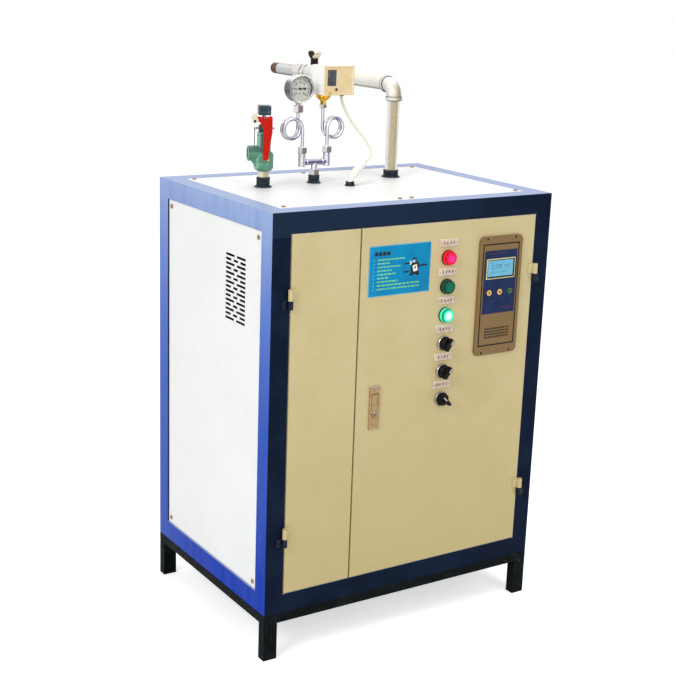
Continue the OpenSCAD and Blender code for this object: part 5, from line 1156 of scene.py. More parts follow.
SAFETY, STUB, PIPE, GLAND = (139, 282), (267, 294), (474, 311), (317, 232)
TEETH, TOOTH_GAP = 8, 0.1
rubber = [hoop(spot(*place, TOP_Z), UP, collar_profile(*sizes))
          for place, sizes in ((SAFETY, (10.95, 14, 18, 20)), (STUB, (8.9, 12, 15, 17)),
                               (PIPE, (13.75, 16.5, 20, 16)))]
GLAND_FOOT = [(6.3, 0), (10.5, 0), (10.5, 2.2), (9.8, 3), (9, 3.2), (6.3, 3.2)]
rubber.append(hoop(spot(*GLAND, TOP_Z), UP, GLAND_FOOT))
rubber += [sector(spot(*GLAND, TOP_Z), UP, (6.3, 9), (3, 9),
                  (a + TOOTH_GAP, a + 2 * math.pi / TEETH - TOOTH_GAP)) for a in circle(TEETH)]
piece("collar_pieces", [(rubber, finish("collar_rubber"))], replaces="rubber_collars")

# %% [markdown]
# ## The siphon
# Steam would burn the gauge, so both instruments hang on coiled tubes that keep water in them. The
# coils are true helices about a level axis, drawn with 64 steps to the turn.

# %% Siphon
LEFT_X, RIGHT_X, LOW_Y, HIGH_Y = 237, 297, 294, 314
COIL_Z, COIL_R, COIL_PITCH, TURNS, STEPS = 912.0, 20.5, 10.0, 2, 64
TUBE_R, START_Z, RIGHT_TOP, LEFT_TOP = 3.5, 874.5, 952.0, 944.0


def coil(x, side, top):
    """A tube that rises, turns about a level axis and leaves upwards again. Along the turns,
    x = COIL_R * (1 - cos a), z = COIL_R * sin a, and y grows by the pitch at each turn."""
    a = np.linspace(0, TURNS * 2 * math.pi, TURNS * STEPS + 1)
    loops = np.stack([x + side * COIL_R * (1 - np.cos(a)), LOW_Y + COIL_PITCH * a / (2 * math.pi),
                      COIL_Z + COIL_R * np.sin(a)], -1)
    up_in = np.stack([np.full(6, x), np.full(6, LOW_Y), np.linspace(START_Z, COIL_Z, 7)[:-1]], -1)
    up_out = np.stack([np.full(6, x), np.full(6, HIGH_Y), np.linspace(COIL_Z, top, 7)[1:]], -1)
    return CORNER + np.vstack([up_in, loops, up_out]) * MM


for name, node, x, side, top in (("siphon_left_tube", "siphon_gauge_side", LEFT_X, -1, LEFT_TOP),
                                 ("siphon_right_tube", "siphon_switch_side", RIGHT_X, 1, RIGHT_TOP)):
    piece(name, [(tube_along(coil(x, side, top), TUBE_R, 20), finish("chrome"))], replaces=node)

# %% [markdown]
# The tubes are held by a cross bar with two branches. Grooves in the profiles stand for the lines
# where turned fittings meet, and the nuts are hexagons with drawn-in ends.

# %% Siphon fittings
NUT_BEVEL = 0.9
BRANCH = [(6.6, 0), (7.5, 1.0), (7.5, 5), (7.0, 5.6), (7.0, 6.6), (7.5, 7.2), (7.5, 20), (7.0, 20.6),
          (7.0, 21.6), (7.5, 22.2), (7.5, 28)]
CROSS_BAR = [(6.5, 0), (6.5, 10), (7.1, 10.6), (7.1, 12), (6.5, 12.6), (6.5, 47.4), (7.1, 48),
             (7.1, 49.4), (6.5, 50), (6.5, 60)]
NIPPLE = [(6.5, -1), (6.5, 1.5), (6.1, 2), (6.1, 3), (6.5, 3.5), (6.5, 16)]
FERRULE = [(5.7, -0.5), (5.7, 0.6), (4.9, 1.4), (3.55, 1.5)]
nuts = [prism(spot(*STUB, 816.5), UP, 20, (0, 12), NUT_BEVEL),
        prism(spot(LEFT_X, HIGH_Y, LEFT_TOP), UP, 20, (0, 14), NUT_BEVEL),
        prism(spot(RIGHT_X, HIGH_Y, RIGHT_TOP), UP, 15, (0, 7), NUT_BEVEL)]
fittings = [lathe(spot(*STUB, 828.5), UP, NIPPLE), lathe(spot(LEFT_X, LOW_Y, 843.5), RIGHT, CROSS_BAR)]
for x in (LEFT_X, RIGHT_X):
    nuts.append(prism(spot(x, LOW_Y, 862.5), UP, 19, (0, 12), NUT_BEVEL))
    fittings += [lathe(spot(x, LOW_Y, 834.5), UP, BRANCH), lathe(spot(x, LOW_Y, START_Z), UP, FERRULE, 32)]
piece("siphon_fitting_pieces", [(fittings, finish("chrome")), (nuts, finish("nut_metal"))],
      replaces="siphon_fittings")

# %% [markdown]
# ## The pressure gauge
# The case is one profile turned about the gauge's own axis: back, wall, and rolled rim. The dial's
# ticks and digits lie on an arc of 270 degrees, and the needle rests at its left.

# %% Gauge case
GAUGE_Z, CASE_Y, GLASS_Y, NEEDLE_Y, DIAL_Y = 992, 300, 303, 308.3, 309


def on_gauge(y):
    """A place on the gauge's axis."""
    return spot(LEFT_X, y, GAUGE_Z)


CASE = [(0, 26), (26, 26), (26, 2.2), (26.3, 0.8), (26.8, 0.2), (27.6, 0), (28.5, 0.4), (29, 1.4),
        (29, 4.8), (28.7, 5.7), (28.2, 6.1), (27.7, 6.3), (27.5, 6.8), (27.5, 25), (26.9, 27), (25.3, 28),
        (12, 28), (11, 27.4), (0, 27.4)]
STEM = [(5.6, -0.2), (5.6, 1.2), (5, 1.8), (5, 3), (5.5, 3.4), (5.5, 6), (5, 6.4), (5, 18)]
stem_at = spot(LEFT_X, HIGH_Y, 958)
piece("gauge_case_piece", [([lathe(on_gauge(CASE_Y), BACK, CASE, 96), lathe(stem_at, UP, STEM, 40),
                             prism(stem_at, UP, 13, (4, 10), 0.8, 4)], finish("gauge_chrome"))],
      replaces="gauge_case")

# %% [markdown]
# The dial's scale is ticks with a longer one and a digit at every fifth, and an arc of short strokes
# outside them. It is printed as flat quads just in front of the white disc.

# %% Dial
FIRST_TURN, SWEEP, MARKS, ARC_STEPS = -45, 270, 30, 90


def at_turn(radius, turn):
    """A point of the dial: turn counts clockwise from the left, in degrees."""
    return -radius * math.cos(math.radians(turn)), radius * math.sin(math.radians(turn))


dial = worn("dial_print", (206, 202, 192), (196, 192, 182), (0.4, 0.5), patch=12, grain=1, depth=0.005)
marks = [(0, -9.5, 7, 1.1)]
for k in range(MARKS + 1):
    turn, r0, thick = FIRST_TURN + SWEEP / MARKS * k, 19.2, 0.5
    if k % 5 == 0:
        r0, thick = 17.2, 0.95
        marks += digit(str(k // 5), *at_turn(13.4, turn), 4.4, 0.2)
    marks.append((*at_turn((r0 + 21.2) / 2, turn), 21.2 - r0, thick, -turn))
for k in range(ARC_STEPS):
    turn = FIRST_TURN + SWEEP * (k + 0.5) / ARC_STEPS
    marks.append((*at_turn(21.9, turn), 0.5, 1.2, -turn))
piece("gauge_dial_piece", [(lathe(on_gauge(DIAL_Y), BACK, [(0, 0), (25.9, 0), (25.9, 1), (0, 1)], 72),
                            dial.material),
                           ([quads(on_gauge(DIAL_Y - 0.05), FRONT, UP, marks)], finish("print_dark"))],
      replaces="gauge_dial")

# %% [markdown]
# The needle is a thin blade with a wider tail on a small hub. The glass is a little domed, and its
# low index keeps the dial from being bent out of place.

# %% Needle and glass
BLADE = [(-20.4, 0.1), (-15, 0.3), (-4, 0.55), (0, 0.7), (6, 0.7), (8.2, 1.6), (10.2, 2.1), (12.2, 1.6),
         (12.8, 0.5)]
GLASS = [(0, -0.35), (14, -0.1), (24.9, 0.4), (25.9, 0.8), (25.9, 2), (0, 2)]
blade = np.array([[on_gauge(NEEDLE_Y) + (RIGHT * x + UP * (s * half) + FRONT * out) * MM
                   for s, out in ((-1, 0), (1, 0), (1, 0.7), (-1, 0.7))] for x, half in BLADE])
HUB = [(0, 0), (2.5, 0), (2.5, 0.9), (2.1, 1.4), (1.2, 1.7), (0, 1.75)]
hub = lathe(on_gauge(NEEDLE_Y), FRONT, HUB, 32)
pin = lathe(on_gauge(NEEDLE_Y - 0.8), BACK, [(0, 0), (1, 0), (1, 3.5), (0, 3.5)], 16)
piece("gauge_needle_piece", [([grid(blade), hub, pin], finish("needle_paint"))], replaces="gauge_needle")

glass = Finish("gauge_glass", (0.96, 0.99, 0.98), 0.02, Transmission_Weight=1.0, IOR=1.12)
glass.feed("Roughness", glass.noise(14, 2).step(0.5, 0.8) * 0.05 + 0.01)
piece("gauge_glass_piece", [(lathe(on_gauge(GLASS_Y), BACK, GLASS, 72), glass.material)],
      replaces="gauge_glass")

# %% [markdown]
# ## The pressure switch
# A sheet-metal box on a bellows. Its front is a lattice of cells with a raised border and a sunk
# window, in which a scale can be seen.

# %% Switch box
BOX_X = (283, 286.4, 292, 314, 353.6, 357)
BOX_Y, BOX_Z = (290, 291.1, 292, 338), (979, 982.4, 998, 1031, 1035.6, 1039)
full = np.ones((5, 3, 5), bool)
full[1:4, 0, 1:4] = False
full[2, :2, 2] = False
switch_case = powder_coat("switch_case", (222, 198, 150), 0.4, 5)
# Painted highlight: faces that look up or to the left are near white.
top_left_highlight = (switch_case.facing("z") - switch_case.facing("x")).step(0.3, 0.8)
drift = switch_case.noise(30, 3).step(0.3, 0.7)
switch_case.feed("Base Color", switch_case.mix(
    top_left_highlight, switch_case.mix(drift, linear(230, 208, 158), linear(220, 196, 146)), linear(252, 251, 244)))
piece("switch_box_piece", [(cells(BOX_X, BOX_Y, BOX_Z, full), switch_case.material)],
      replaces="switch_box", bevel=0.9)

# %% [markdown]
# A dark window shows two scales, and a screw, a brass plate and the cable's grommet sit round it.
# The bellows below is one turned profile with waves, over a hexagon.

# %% Switch window and bellows
SCREW = [(0, 0), (2.6, 0), (2.6, 1.6), (2.1, 2.2), (0, 2.3)]
GROMMET = [(0, -0.5), (5.4, -0.5), (5.4, 2.6), (4.6, 3.4), (3.1, 3.6)]
BELLOWS = [(0, 0), (15.4, 0), (16, 0.6), (16, 2.1), (15.2, 2.7), (15.2, 3.3), (16, 3.9), (16, 5.4),
           (15.2, 6), (12.6, 6.6), (13.2, 7.4), (11.4, 8.4), (11.8, 9.2), (9, 10.2), (9.4, 11), (6.2, 12),
           (6, 12.2), (0, 12.2)]
scale_marks = [(x, -13.5 + 3 * k, 2.2, 0.9) for x in (-7.5, 7.5) for k in range(10)]
scale_marks += [(x, 0, 0.5, 29) for x in (-3.4, 3.4)]
window = worn("switch_window", (44, 40, 52), (30, 28, 38), (0.15, 0.25), patch=8, Coat_Weight=0.5)
scale_print = worn("scale_print", (128, 128, 136), (104, 104, 112), (0.4, 0.5), patch=2)
piece("switch_window_pieces",
      [(slab(spot(303, 292.0, 1014.5), FRONT, UP, 21.4, 32.4, 0.5, 1, 0.15), window.material),
       ([quads(spot(303, 291.44, 1014.5), FRONT, UP, scale_marks)], scale_print.material),
       ([lathe(spot(313.5, 291.3, 991), FRONT, SCREW, 32), lathe(spot(342, HIGH_Y, 979), -UP, GROMMET, 32)],
        finish("black_plastic")),
       (slab(spot(RIGHT_X, 292, 983), FRONT, UP, 8, 5, 2.4, 0.8, 0.4), finish("valve_brass"))],
      body="cabinet")
bellows_at = spot(RIGHT_X, HIGH_Y, 979)
bellows = [lathe(bellows_at, -UP, BELLOWS), prism(bellows_at, -UP, 12, (12, 20), 0.7)]
piece("switch_bellows_piece", [(bellows, finish("bellows_brass"))], replaces="switch_bellows")

# %% [markdown]
# The cable's lower end sits in a white sleeve, which widens over it and goes down through the
# gland. Small rings show where it has been pushed together.

# %% Sleeve
white_sleeve = worn("cable_sheath_sleeve", (244, 244, 236), (228, 226, 214), (0.4, 0.55), patch=9,
                    depth=0.04)
sleeve_path = smooth_path([spot(x, y, z + TOP_Z) for x, y, z in SLEEVE_ROUTE], 8)
along = np.linspace(0, len(SLEEVE_R) - 1, len(sleeve_path))
sleeve_radius = np.interp(along, np.arange(len(SLEEVE_R)), SLEEVE_R)
sleeve_radius = sleeve_radius - 0.35 * (np.sin(along * 9.0) > 0.2) * (along > 0.4)
piece("cable_sleeve_piece", [(tube_along(sleeve_path, sleeve_radius, 24), white_sleeve.material)],
      replaces="cable_sleeve")

# %% [markdown]
# ## Steam pipe, elbow and outlet valve
# Galvanised pipe with a cast elbow that has a band at each mouth. The threaded end is a zigzag in
# the profile of a turned tube, so that it also shows its bore.

# %% Pipes
PIPE_OUT, PIPE_IN, THREAD_TOP, THREAD_LOW, PITCH = 13.45, 10.85, 12.93, 12.35, 1.8
RUN_Z, REACH, RISER_LOW, RUN_END = 996.5, 32.0, 716, 602


def pipe_profile(length, thread=0.0):
    """A closed profile of a pipe, with a zigzag of thread ridges over its last part."""
    rows = [(PIPE_IN, 0), (PIPE_OUT, 0), (PIPE_OUT, length - thread)]
    if thread:
        rows.append((THREAD_TOP, length - thread + 0.4))
        for z in np.arange(length - thread + 1.2, length - 1.2, PITCH):
            rows += [(THREAD_TOP, z), (THREAD_LOW, z + PITCH / 2)]
        rows += [(12.6, length - 0.8), (12.2, length)]
    return rows + [(PIPE_IN, length)]


def on_run(y, z=RUN_Z):
    """A place on the steam pipe's own line, which runs level at RUN_Z."""
    return spot(PIPE[0], y, z)


PIPE_Y = PIPE[1]
riser = hoop(on_run(PIPE_Y, RISER_LOW), UP, pipe_profile(RUN_Z - REACH - RISER_LOW))
run = hoop(on_run(PIPE_Y + REACH), BACK, pipe_profile(RUN_END - PIPE_Y - REACH))
nipple = hoop(on_run(709), BACK, pipe_profile(115, thread=26))
rust = FINISH["pipe_thread"]
zinc = Wire(rust, rust.shader.inputs["Base Color"].links[0].from_socket)
rusty = rust.mix(rust.noise(8, 4).step(0.4, 0.65), linear(112, 84, 68), linear(66, 48, 40))
rust.feed("Base Color", rust.mix(rust.axis("y", float(on_run(796)[1])) > 0.0, zinc, rusty))
piece("steam_pipe_pieces", [(riser, finish("riser_metal")), (run, finish("pipe_metal")),
                            (nipple, rust.material)], replaces="steam_pipes")

# %% [markdown]
# The elbow is cast iron, zinc-coated. Its bend is a quarter of a circle between two short straight
# ends, and a thick band strengthens each mouth, with a dark ring of painted shade on both sides of it.

# %% Elbow
BEND_R, ELBOW_R = 25, 16.2
BAND_SHADE_RING = [(16, 0), (17.9, 0.2), (17.9, 0.5), (16, 0.7)]
BAND = [(13.5, 0), (17.2, 0), (17.8, 0.7), (17.8, 6.0), (17.1, 6.8), (16.2, 7.4), (13.5, 7.4)]
bend = [(0, 0, -REACH), (0, 0, -28), (0, 0, -BEND_R)]
bend += [(0, BEND_R - BEND_R * math.cos(a), -BEND_R + BEND_R * math.sin(a))
         for a in np.linspace(0, math.pi / 2, 25)[1:]]
bend += [(0, 28, 0), (0, REACH, 0)]
elbow = [tube_along(on_run(PIPE_Y) + np.array(bend) * MM, ELBOW_R, 40)]
elbow += [hoop(on_run(PIPE_Y, RUN_Z - REACH), UP, BAND), hoop(on_run(PIPE_Y + REACH), FRONT, BAND)]
# Painted shade: a dark ring on both sides of each band.
painted_shade_lines = [hoop(on_run(PIPE_Y, RUN_Z - REACH + d), UP, BAND_SHADE_RING) for d in (-0.5, 7.2)]
painted_shade_lines += [hoop(on_run(PIPE_Y + REACH - d), FRONT, BAND_SHADE_RING) for d in (-0.5, 7.2)]
piece("steam_elbow_piece", [(elbow, finish("elbow_cast")), (painted_shade_lines, finish("handle_paint"))],
      replaces="steam_elbow")

# %% [markdown]
# The outlet valve is a ball valve: a bellied body between two hexagons, a union nut behind it, and
# a gland that holds the stem. All of them are turned or six-sided shapes on the pipe's own line.

# %% Outlet valve
VALVE_Y, HALF_L, HEX, HEX_BEVEL = 640, 38, 36, 1.4
BELLY = [(10, 1), (17.4, 1), (17.6, 15), (18.6, 17), (20.4, 22), (21.7, 28), (22, 34), (21.5, 35),
         (21.5, 37), (22, 38), (21.8, 44), (20.6, 51), (18.6, 58), (17.6, 61), (17.4, 75), (10, 75)]
UNION = [(10, 0), (13.45, 0), (13.45, 3), (17, 3.4), (17, 4), (10, 4)]
UNION_LIP = [(10, 27.5), (16.2, 27.5), (16.2, 28.4), (10, 28.4)]
DARK_RING = [(16, 0), (17.9, 0.2), (17.9, 1.0), (16, 1.2)]
GLAND_STEM = [(0, 14), (9, 14), (9, 24.6), (8.6, 25.1), (8.6, 26), (9, 26.5), (9, 27.4), (8.2, 28), (0, 28)]
front_end, back_end = on_run(VALVE_Y - HALF_L), on_run(VALVE_Y + HALF_L)
body = [hoop(front_end, BACK, BELLY, 72), hoop(back_end, BACK, UNION),
        hoop(on_run(VALVE_Y + 41), BACK, UNION_LIP, 48),
        prism(front_end, BACK, HEX, (0, 15), HEX_BEVEL), prism(front_end, BACK, HEX, (61, 76), HEX_BEVEL),
        prism(on_run(VALVE_Y + 41), BACK, HEX, (0, 28), HEX_BEVEL)]
dark = [lathe(on_run(VALVE_Y), UP, GLAND_STEM, 48)]
dark += [hoop(on_run(VALVE_Y + y), BACK, DARK_RING) for y in (-23.4, 22.0, 39.2)]
piece("outlet_valve_piece", [(body, finish("valve_nickel")), (dark, finish("handle_paint"))],
      replaces="outlet_valve_body")

# %% [markdown]
# The handle has two wings that lean away from each other. The one that leans to the front is cream
# as a painted highlight and the other is dark, so each wing has a finish of its own.

# %% Butterfly handle
HUB_Z, TILT = RUN_Z + 28.3, math.radians(50)
HANDLE_HUB = [(0, 0), (8.4, 0), (9, 0.6), (9, 6.8), (8.2, 8), (0, 8)]
wings = {}
for side in (1, -1):
    rise = np.array([0, side * math.cos(TILT), math.sin(TILT)])
    flat = np.array([0, -side * math.sin(TILT), math.cos(TILT)])
    foot = on_run(VALVE_Y + side * 4.5, HUB_Z + 6)
    wings[side] = [slab(foot + (rise * 10.5 - flat * 2) * MM, flat, rise, 16, 21, 4, 6, 1.3, 8),
                   slab(foot + (rise * 11.5 + flat * 1.9) * MM, flat, rise, 5, 12, 0.9, 2.2, 0.6, 6)]
stem = [lathe(on_run(VALVE_Y), UP, [(0, 8), (5, 8), (5, 29), (0, 29)], 24),
        prism(on_run(VALVE_Y, HUB_Z), UP, 10, (7.9, 12), 0.7)]
hub = lathe(on_run(VALVE_Y, HUB_Z), UP, HANDLE_HUB, 48)
# Painted highlight: the wing that leans to the front is cream.
piece("outlet_handle_piece", [([hub] + wings[1], finish("handle_paint")),
                              (wings[-1], finish("cream_plastic")), (stem, finish("satin_metal"))],
      replaces="outlet_valve_handle")

# %% [markdown]
# ## The safety valve
# The valve stands on a hexagon. Its body, port and spring housing are cast in one, and a sheet
# lever hangs on a pin through its neck. The square cap sits on the spindle above.

# %% Safety valve body
SHOULDER_Z = 871
green = worn("safety_green", (88, 146, 116), (66, 118, 92), (0.26, 0.42), patch=9, grain=1.4, depth=0.05,
             Specular_IOR_Level=0.45)
soil = green.noise(14, 4, 0.6).step(0.4, 0.7) * 0.4
cast = green.mix(soil, linear(82, 140, 112), linear(60, 110, 86))
# Darker above the shoulder.
cast = green.mix(green.axis("z", float(spot(0, 0, SHOULDER_Z)[2])) > 0.0, cast,
                 green.mix(soil, linear(64, 104, 92), linear(44, 84, 72)))
# Painted highlight: faces that look left are pale.
green.feed("Base Color", green.mix((0 - green.facing("x")).step(0.75, 0.98), cast, linear(140, 186, 162)))
SV_BODY = [(0, 832.5), (14, 832.5), (16.6, 834.2), (18.9, 836.6), (20, 839.4), (20, 848), (19.4, 848.8),
           (19.4, 849.8), (20, 850.6), (20, 864.8), (19, 868), (16.8, 870.4), (14, 871.5), (14, 880),
           (13.5, 880.6), (13.5, 881.6), (14, 882.2), (14, 903), (13.5, 903.6), (13.5, 904.6), (14, 905.2),
           (14, 909.6), (13.4, 910.5), (11, 910.5)]
SV_NECK = [(11, 910.4), (11, 912), (10.6, 912.4), (10.6, 913.2), (11, 913.6), (11, 923.4), (10.4, 925.2),
           (9.6, 925.5), (4.05, 925.5)]
PORT = [(10.3, 17), (10.3, 32.2), (11.2, 33), (14.6, 33), (15.5, 32.1), (15.5, 28), (15.0, 27.4),
        (15.0, 26), (15.5, 25.4), (15.5, 0), (10.3, 0)]
TURN = math.radians(-20)
PIN = np.array([math.cos(TURN), math.sin(TURN), 0])
OUTWARD = np.array([math.sin(TURN), -math.cos(TURN), 0])
PIN_Z, WIRE_X, WIRE_COIL = 918.0, -19, 0.25


def by_pin(x, y, z):
    """A point beside the valve's axis: x along the pin, y towards the lever, z as a height."""
    return spot(*SAFETY, z) + (PIN * x + OUTWARD * y) * MM


skirt_out = [(-1, 834.5), (-12, 834.5), (-27, 854), (-27, 867.5), (-1, 867.5)]
skirt = np.array([[by_pin(x, y, z) for x, z in skirt_out] for y in (11, -11)])
sv_body = [lathe(spot(*SAFETY, 0), UP, SV_BODY, 80), hoop(spot(*SAFETY, 867.5), -PIN, PORT, 64),
           grid(skirt)]
wire_z = np.linspace(882.6, 917, 87)
wire_path = np.array([by_pin(WIRE_X + WIRE_COIL * math.sin(z * 2.2), WIRE_COIL * math.cos(z * 2.2), z)
                      for z in wire_z])
wire = tube_along(wire_path, 0.8 + 0.35 * np.sin(wire_z * 3.1), 10)
to_screw = np.array([-0.05, -0.999, 0])
brass_ring = hoop(spot(*SAFETY, 857) + to_screw * 19.6 * MM, to_screw,
                  [(1.5, 0), (2.9, 0), (2.9, 1.2), (2.5, 1.5), (1.5, 1.2)], 32)
pin = lathe(spot(*SAFETY, PIN_Z) - PIN * 21 * MM, PIN, [(1.9, 0), (2.5, 0.6), (2.5, 41.4), (1.9, 42)], 24)
piece("safety_valve_piece",
      [(sv_body, green.material), (lathe(spot(*SAFETY, 0), UP, SV_NECK), finish("safety_dark")),
       (prism(spot(*SAFETY, 819.5), UP, 22, (0, 13), 1.1), finish("hex_metal")),
       (pin, finish("satin_metal")), (wire, finish("handle_paint")), (brass_ring, finish("valve_brass"))],
      replaces="safety_valve_body", bevel=0.3, segments=1)

# %% [markdown]
# Above the neck, the spindle carries a square cap with round corners and a groove, so its rings
# are one outline scaled by a list of half widths. A small metal ring sits under the cap.

# %% Spindle and cap
CAP_HALF = 12.5
CAP_RINGS = [(944.5, 11.6), (945.2, 12.3), (946, 12.5), (951.6, 12.5), (952.2, 12.1), (953, 12.1),
             (953.6, 12.5), (961.6, 12.5), (962.8, 12.1), (963.5, 11.2)]
quarter = np.linspace(0, math.pi / 2, 7)
outline = np.vstack([np.stack([np.cos(quarter + k * math.pi / 2) * 4 + sx * 8.5,
                               np.sin(quarter + k * math.pi / 2) * 4 + sy * 8.5], -1)
                     for k, (sx, sy) in enumerate(((1, 1), (-1, 1), (-1, -1), (1, -1)))])
cap = np.array([[spot(*SAFETY, z) + (PIN * x - OUTWARD * y) * MM * (half / CAP_HALF) for x, y in outline]
                for z, half in CAP_RINGS])
rod = [lathe(spot(*SAFETY, 892), UP, [(4, 0), (4, 52.6)], 32),
       lathe(spot(*SAFETY, 0), UP, [(4.1, 938), (6.4, 938.6), (6.4, 940), (4.1, 940.6)], 32)]
piece("safety_spindle_piece", [(grid(cap), finish("safety_dark")), (rod, finish("satin_metal"))],
      replaces="safety_valve_spindle")

# %% [markdown]
# The lever is painted red, and the seal plate at its side is left pale. Both are one CAD node, so the
# recipe tells them apart by place: along the pin and out from it, as dot products.

# %% Lever
SEAL_ALONG, SEAL_OUT = -13.45, 15.95
red = worn("lever_red", (214, 40, 22), (180, 24, 14), (0.4, 0.55), patch=10, depth=0.04,
           Specular_IOR_Level=0.1)
sx, sy = red.axis("x", float(spot(*SAFETY, 0)[0])), red.axis("y", float(spot(*SAFETY, 0)[1]))
along = sx * float(PIN[0]) + sy * float(PIN[1])
away = sx * float(OUTWARD[0]) + sy * float(OUTWARD[1])
seal = (along < SEAL_ALONG * MM) * (away < SEAL_OUT * MM)
soil = red.noise(10, 4, 0.6).step(0.4, 0.65) * 0.35
red.feed("Base Color", red.mix(seal, red.mix(soil, linear(192, 26, 8), linear(156, 20, 8)),
                               red.mix(soil, linear(226, 218, 196), linear(206, 196, 168))))
dressed("safety_valve_lever", red.material, 0.5)
RIVET = [(0, 0), (2.7, 0), (2.7, 2.4), (2.2, 2.9), (0, 3)]
piece("seal_rivet", [(lathe(by_pin(-21, 13.0, PIN_Z + 15), OUTWARD, RIVET, 24), finish("black_plastic"))],
      body="cabinet")

# %% [markdown]
# ## Inside the cabinet
# The doors open, so the drum, the heater, the tank, the pump and the switchgear need looks too.
# They keep their CAD shapes with softened edges, and get weld beads, straps, screws and marks.

# %% Drum and heater
DRUM_X, DRUM_L, DRUM_Y, DRUM_Z, DRUM_R = 80, 440, 296, 560, 120
FLANGE_X, BOLT_R, BOLTS = DRUM_X + DRUM_L + 28, 77, 8
dressed("boiler_drum", finish("drum_steel"), 0.8)


def bead(centre, axis, radius, thick, ripples):
    """A weld bead: a ring whose thickness follows a sine, ripples times along its way."""
    a = circle(ripples * 2)
    out = spokes(axis, a)
    path = np.asarray(centre) + out * radius * MM
    size = thick * (1 + 0.2 * np.sin(a * ripples)) * MM
    round_it = circle(8)[None, :, None]
    return grid(path[:, None] + size[:, None, None] * (np.cos(round_it) * out[:, None]
                                                       + np.sin(round_it) * unit(axis)), ring=True)


drum_at = spot(DRUM_X, DRUM_Y, DRUM_Z)
beads = [bead(drum_at + RIGHT * x * MM, RIGHT, DRUM_R, 1.6, 150) for x in (26, DRUM_L - 26)]
beads += [bead(drum_at + RIGHT * DRUM_L * MM, RIGHT, 70, 1.4, 90)]
beads += [bead(spot(x, y, DRUM_Z + math.sqrt(DRUM_R ** 2 - (y - DRUM_Y) ** 2) + 0.5), UP, r, 1.3, 40)
          for x, y, r in ((*SAFETY, 11.2), (*STUB, 9.2), (*PIPE, 17.6))]
piece("drum_welds", [(beads, finish("drum_steel"))], body="cabinet")

dressed("heating_elements", finish("satin_metal"), 0.5)
bolts = []
for a in circle(BOLTS) + math.pi / BOLTS:
    place = spot(FLANGE_X, DRUM_Y + BOLT_R * math.cos(a), DRUM_Z + BOLT_R * math.sin(a))
    bolts += [prism(place, RIGHT, 13, (0, 7), 0.9),
              lathe(place, RIGHT, [(4, 6), (4, 11), (3.3, 12), (0, 12)], 20)]
piece("heater_bolts", [(bolts, finish("zinc_sheet"))], body="cabinet")

# %% [markdown]
# The tank is thin stainless sheet under two straps. The pump's motor is a tube with cooling fins,
# which are rings slid along its axis.

# %% Tank, pump and pipes
MOTOR_X, MOTOR_Y, MOTOR_Z, FIN_STEP = 232, 300, 104, 8
dressed("water_tank", finish("tank_steel"), 0.5)
dressed("feed_pump", finish("pump_paint"), 0.8)
dressed("pump_rotor", finish("satin_metal"), 0.4)
dressed("water_pipes", finish("copper"), 0.3)
FIN = [(47.8, 0), (50.5, 0.5), (50.5, 1.7), (47.8, 2.2)]
fins = [hoop(spot(MOTOR_X - k * FIN_STEP, MOTOR_Y, MOTOR_Z), LEFT, FIN, 72) for k in range(2, 13)]
piece("motor_fins", [(fins, finish("pump_paint"))], body="cabinet")
straps = [cells([299.4, 490.6], [224.4, 225.0], [z, z + 14], [[[1]]]) for z in (90, 220)]
piece("tank_straps", [(straps, finish("zinc_sheet"))], body="cabinet", bevel=0.2)
dressed("drain_valve_handle", worn("drain_red", (196, 38, 28), (160, 26, 20), (0.35, 0.5), patch=8,
                                   depth=0.04).material, 0.6)

# %% [markdown]
# The switchgear is four contactors over a row of terminals on a zinc plate. Brass screw heads and
# blank white tags are enough to read them as that through the open door.

# %% Electrical plate and switchgear
UNIT_X, UNIT_STEP, UNIT_FRONT = 235, 56, 90
dressed("electrical_plate", finish("zinc_sheet"), 0.4)
dressed("switchgear", worn("switchgear_case", (52, 54, 58), (40, 42, 46), (0.4, 0.55), patch=14,
                           depth=0.03).material, 1.0)
terminals, tags = [], []
for i in range(4):
    x = UNIT_X + UNIT_STEP * i
    terminals += [screw_head(spot(x + 9 + 14 * k, UNIT_FRONT, z), FRONT, 0.3 * k, 3, 1.4)
                  for k in range(3) for z in (254, 303)]
    tags.append((x + 23, 279, 30, 12))
terminals += [screw_head(spot(243 + 17 * k, 120, 165), FRONT, 0.5 * k, 3.2, 1.5) for k in range(14)]
piece("terminal_screws", [(terminals, finish("valve_brass"))], body="cabinet")
piece("switchgear_tags", [([quads(spot(0, UNIT_FRONT - 0.1, 0), FRONT, UP, tags)], finish("print_white"))],
      body="cabinet")

# %% [markdown]
# ## Floor, world and light
# The photograph has a white ground without a horizon. A large white floor catches a soft shadow, and
# gives off a little light where the camera sees it, so that it melts into the white around it.

# %% Floor
GROUND_HALF = 9
ground = Finish("ground", (0.93, 0.93, 0.93), 0.9)
floor_mesh = bpy.data.meshes.new("ground")
floor_mesh.from_pydata([(x * GROUND_HALF, y * GROUND_HALF, 0)
                        for x, y in ((-1, -1), (1, -1), (1, 1), (-1, 1))], [], [(0, 1, 2, 3)])
floor_mesh.materials.append(ground.material)
floor = bpy.data.objects.new("ground", floor_mesh)
bpy.context.scene.collection.objects.link(floor)
camera_only = ground.add("ShaderNodeLightPath")
ground.feed("Emission Color", ground.mix(camera_only, (0, 0, 0), (0.52, 0.52, 0.52)))
ground.feed("Emission Strength", 1.0)

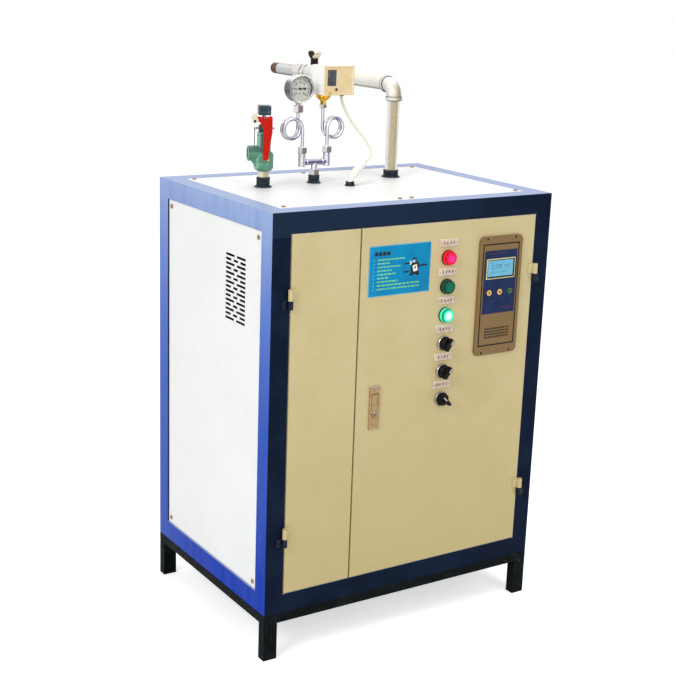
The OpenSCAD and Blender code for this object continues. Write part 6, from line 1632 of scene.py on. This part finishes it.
# %% [markdown]
# The world is pure white for the camera, for mirrors and through glass. Everything else gets a
# dimmer and slightly cool light from it, so that the shadows stay soft but don't vanish.

# %% World
world = bpy.data.worlds.new("world")
bpy.context.scene.world = world
world.use_nodes = True
nodes, links = world.node_tree.nodes, world.node_tree.links
nodes.clear()
out = nodes.new("ShaderNodeOutputWorld")
seen, ambient, blend = (nodes.new(k) for k in ("ShaderNodeBackground", "ShaderNodeBackground",
                                               "ShaderNodeMixShader"))
path = nodes.new("ShaderNodeLightPath")
seen.inputs["Color"].default_value, seen.inputs["Strength"].default_value = (1, 1, 1, 1), 1.0
ambient.inputs["Color"].default_value, ambient.inputs["Strength"].default_value = (0.97, 0.98, 1, 1), 0.55
seen_ray = path.outputs["Is Camera Ray"]
for ray in ("Is Glossy Ray", "Is Transmission Ray"):
    either = nodes.new("ShaderNodeMath")
    either.operation = "MAXIMUM"
    links.new(seen_ray, either.inputs[0])
    links.new(path.outputs[ray], either.inputs[1])
    seen_ray = either.outputs[0]
links.new(seen_ray, blend.inputs[0])
links.new(ambient.outputs[0], blend.inputs[1])
links.new(seen.outputs[0], blend.inputs[2])
links.new(blend.outputs[0], out.inputs[0])

# %% [markdown]
# Light comes mostly from the upper left and from above, and a weaker lamp fills the front. The view
# transform is Standard, so that the colours reach the picture as they are.

# %% Light
def lamp(name, place, target, power, size):
    """A square soft lamp at a place that looks at a target, both in metres."""
    data = bpy.data.lights.new(name, "AREA")
    data.energy, data.size = power, size
    obj = bpy.data.objects.new(name, data)
    obj.location = place
    obj.rotation_euler = (Vector(target) - Vector(place)).to_track_quat("-Z", "Y").to_euler()
    bpy.context.scene.collection.objects.link(obj)
    print(name, power, "W")


lamp("key", (-3.4, -1.6, 2.9), (0, 0, 0.5), 76, 1.6)
lamp("front", (0.6, -3.8, 2.2), (0, 0, 0.5), 38, 2.0)
lamp("top", (0.4, 0.4, 3.6), (0, 0, 0.9), 34, 1.8)

scene = bpy.context.scene
scene.view_settings.view_transform = "Standard"
